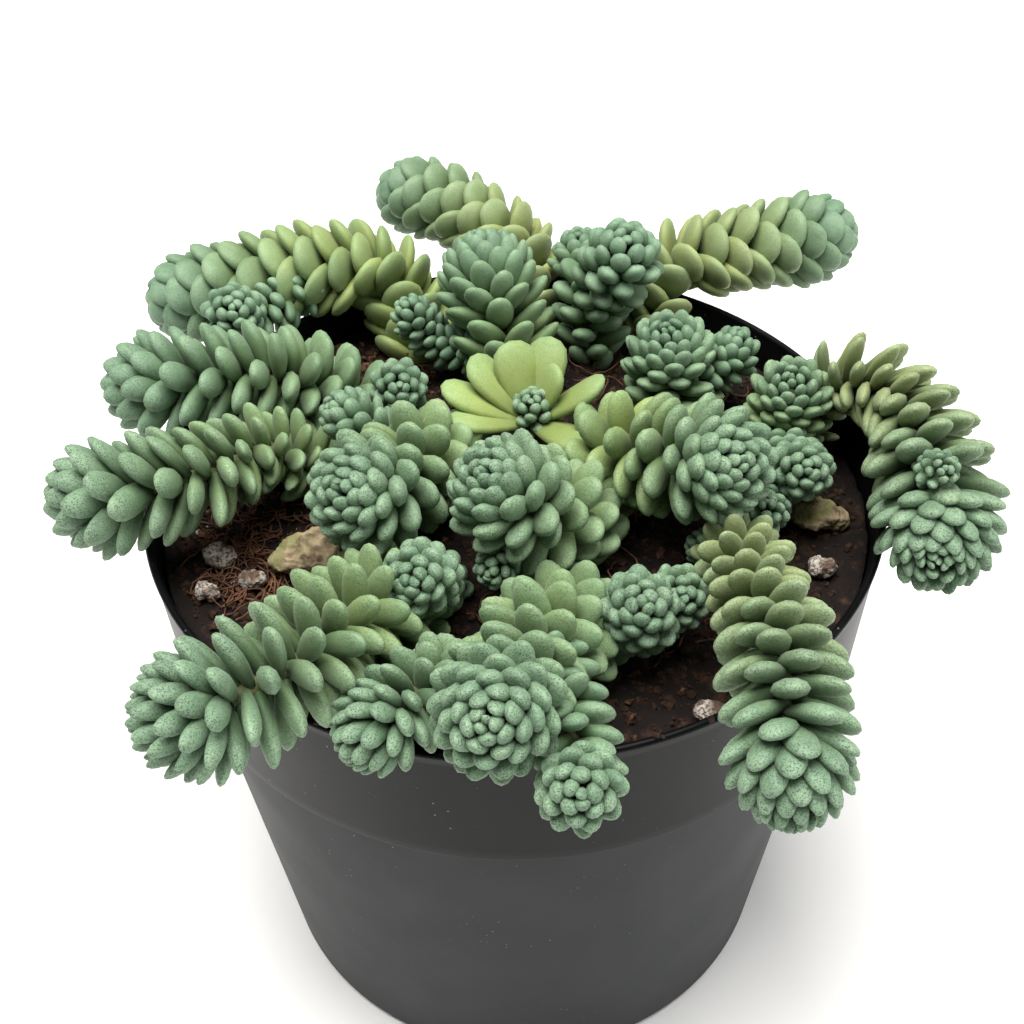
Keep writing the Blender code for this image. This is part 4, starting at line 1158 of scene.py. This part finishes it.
def stem_points(name, axes, own):
    """The leaves and axes of one stem as a mesh of bare points and edges, with their attributes.

    The stem stops short of each bud, where the leaves stand too close to show it.
    """
    verts = [tuple(row[ROOT]) for row in own]
    edges = []
    for axis in axes:
        first = len(verts)
        in_bud = min(BUD_POINTS, len(axis) // 3)
        verts += [tuple(p) for p in axis[:-in_bud:STEM_STRIDE]]
        edges += [(i, i + 1) for i in range(first, len(verts) - 1)]
    mesh = bpy.data.meshes.new(name)
    mesh.from_pydata(verts, edges, [])
    spare = len(verts) - len(own)
    for label, columns in (("way", WAY), ("face", FACE), ("size", SIZE)):
        values = np.concatenate((own[:, columns], np.zeros((spare, 3))))
        mesh.attributes.new(label, "FLOAT_VECTOR", "POINT").data.foreach_set("vector", values.ravel())
    for label, column in (
            ("tint", own[:, TINT]), ("yellow", own[:, YELLOW]), ("tan", own[:, TAN]),
            ("old", own[:, OLD]), ("bend", own[:, BEND] * own[:, LENGTH])):
        values = np.concatenate((column, np.zeros(spare)))
        mesh.attributes.new(label, "FLOAT", "POINT").data.foreach_set("value", values)
    flags = [False] * len(own) + [True] * spare
    mesh.attributes.new("on_axis", "BOOLEAN", "POINT").data.foreach_set("value", flags)
    return new_object(name, mesh)


leaf_tree = leafy_stem_tree()
patterns = {
    "rounded": leaf_pattern("rounded_leaf", 0.52, 2.5),
    "pointed": leaf_pattern("pointed_leaf", 0.50, 2.0),
    "blunt": leaf_pattern("blunt_leaf", 0.68, 2.6)}
stem_patterns = {}
for stem, form, *_ in SHOOTS:
    kind = "blunt" if form == "open" else "rounded"
    kind = "pointed" if stem == "stem_front" else kind
    stem_patterns.setdefault(stem, kind)
leaf_finish, stem_finish = bloomed_leaf(), young_bark()
for stem, axes in stem_axes.items():
    own = leaves[[i for i, (name, _) in enumerate(leaf_stems) if name == stem]]
    mesh = run_tree(stem_points("points", axes, own), leaf_tree, {
        "Leaf": patterns[stem_patterns[stem]], "Stem Radius": STEM_RADIUS, "Stem Sides": 8,
        "Leaf Finish": leaf_finish, "Stem Finish": stem_finish})
    mesh.shade_smooth()
    piece = new_object("leafy_" + stem, mesh)
    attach(piece, "root")
    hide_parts(stem)
for pattern in patterns.values():
    bpy.data.objects.remove(pattern)


# The studio: a flat round white floor, a soft box almost straight above the plant, and a weaker
# fill from the front right, as for a cut-out picture of a plant.
def white_paper():
    """Matt white backdrop paper, with a grain in its colour that is almost too faint to see."""
    made, tree, shader, place = new_material("white_paper")
    grain = add(tree, "ShaderNodeTexNoise", {"Vector": place, "Scale": 1 / (60 * MM), "Detail": 3})
    shade = add(tree, "ShaderNodeMix", {
        "Factor": grain.outputs["Fac"], "A": colour("#F7F7F6"), "B": colour("#FCFCFB")}, data_type="RGBA")
    connect(tree, shader, {"Base Color": shade.outputs[2], "Roughness": 0.9})
    return made


FLOOR_REACH = 3.0
shape = bmesh.new()
bmesh.ops.create_circle(shape, cap_ends=True, segments=64, radius=FLOOR_REACH)
floor = new_object("floor", mesh_of("floor", shape), white_paper())


# The lights, in metres and watts: where each stands, what it is turned to, its size and power.
PLANT_MIDDLE = (0, 0, 90 * MM)
OVERHEAD_PLACE, OVERHEAD_SIZE, OVERHEAD_WATTS = (-0.08, -0.02, 0.95), 0.65, 18.5
FILL_PLACE, FILL_AIM, FILL_SIZE, FILL_WATTS = (0.8, -0.4, 0.5), (0.1, 0, 0), 0.7, 4
ROOM_STRENGTH = 0.18


def soft_light(name, place, aim, size, watts, tone):
    """A square soft box at a place, turned towards a point."""
    lamp = bpy.data.lights.new(name, "AREA")
    lamp.shape = "SQUARE"
    lamp.size = size
    lamp.energy = watts
    lamp.color = colour(tone)[:3]
    obj = bpy.data.objects.new(name, lamp)
    obj.location = place
    obj.rotation_euler = (Vector(place) - Vector(aim)).to_track_quat("Z", "Y").to_euler()
    bpy.context.scene.collection.objects.link(obj)


soft_light("overhead", OVERHEAD_PLACE, PLANT_MIDDLE, OVERHEAD_SIZE, OVERHEAD_WATTS, "#FFFDFA")
soft_light("fill", FILL_PLACE, FILL_AIM, FILL_SIZE, FILL_WATTS, "#FFFFFF")
world = bpy.data.worlds.new("white_room")
world.use_nodes = True
connect(world.node_tree, world.node_tree.nodes["Background"], {
    "Color": colour("#FFFFFF"), "Strength": ROOM_STRENGTH})
bpy.context.scene.world = world
bpy.context.scene.view_settings.view_transform = "Standard"


# The camera. It stands in front of the plant, looks down on it and is rolled a little, as one
# held by hand is. Its lens and sensor are in millimetres.
CAMERA_LENS = 49.2
CAMERA_SENSOR = 36
CAMERA_NEAREST = 10 * MM
CAMERA_ELEVATION = math.radians(42.146)
CAMERA_ROLL = math.radians(-1.412)
CAMERA_TARGET = Vector((-0.41, 0, 81.40)) * MM
CAMERA_DISTANCE = 206.63 * MM
camera_data = bpy.data.cameras.new("camera")
camera_data.sensor_width = CAMERA_SENSOR
camera_data.lens = CAMERA_LENS
camera_data.clip_start = CAMERA_NEAREST
camera = bpy.data.objects.new("camera", camera_data)
bpy.context.scene.collection.objects.link(camera)
bpy.context.scene.camera = camera
look = Vector((0, math.cos(CAMERA_ELEVATION), -math.sin(CAMERA_ELEVATION)))
level = Vector((1, 0, 0))
rise = level.cross(look)
right = math.cos(CAMERA_ROLL) * level + math.sin(CAMERA_ROLL) * rise
up = math.cos(CAMERA_ROLL) * rise - math.sin(CAMERA_ROLL) * level
stand = CAMERA_TARGET - CAMERA_DISTANCE * look
camera.matrix_world = Matrix((
    (right.x, up.x, -look.x, stand.x),
    (right.y, up.y, -look.y, stand.y),
    (right.z, up.z, -look.z, stand.z),
    (0, 0, 0, 1),
))
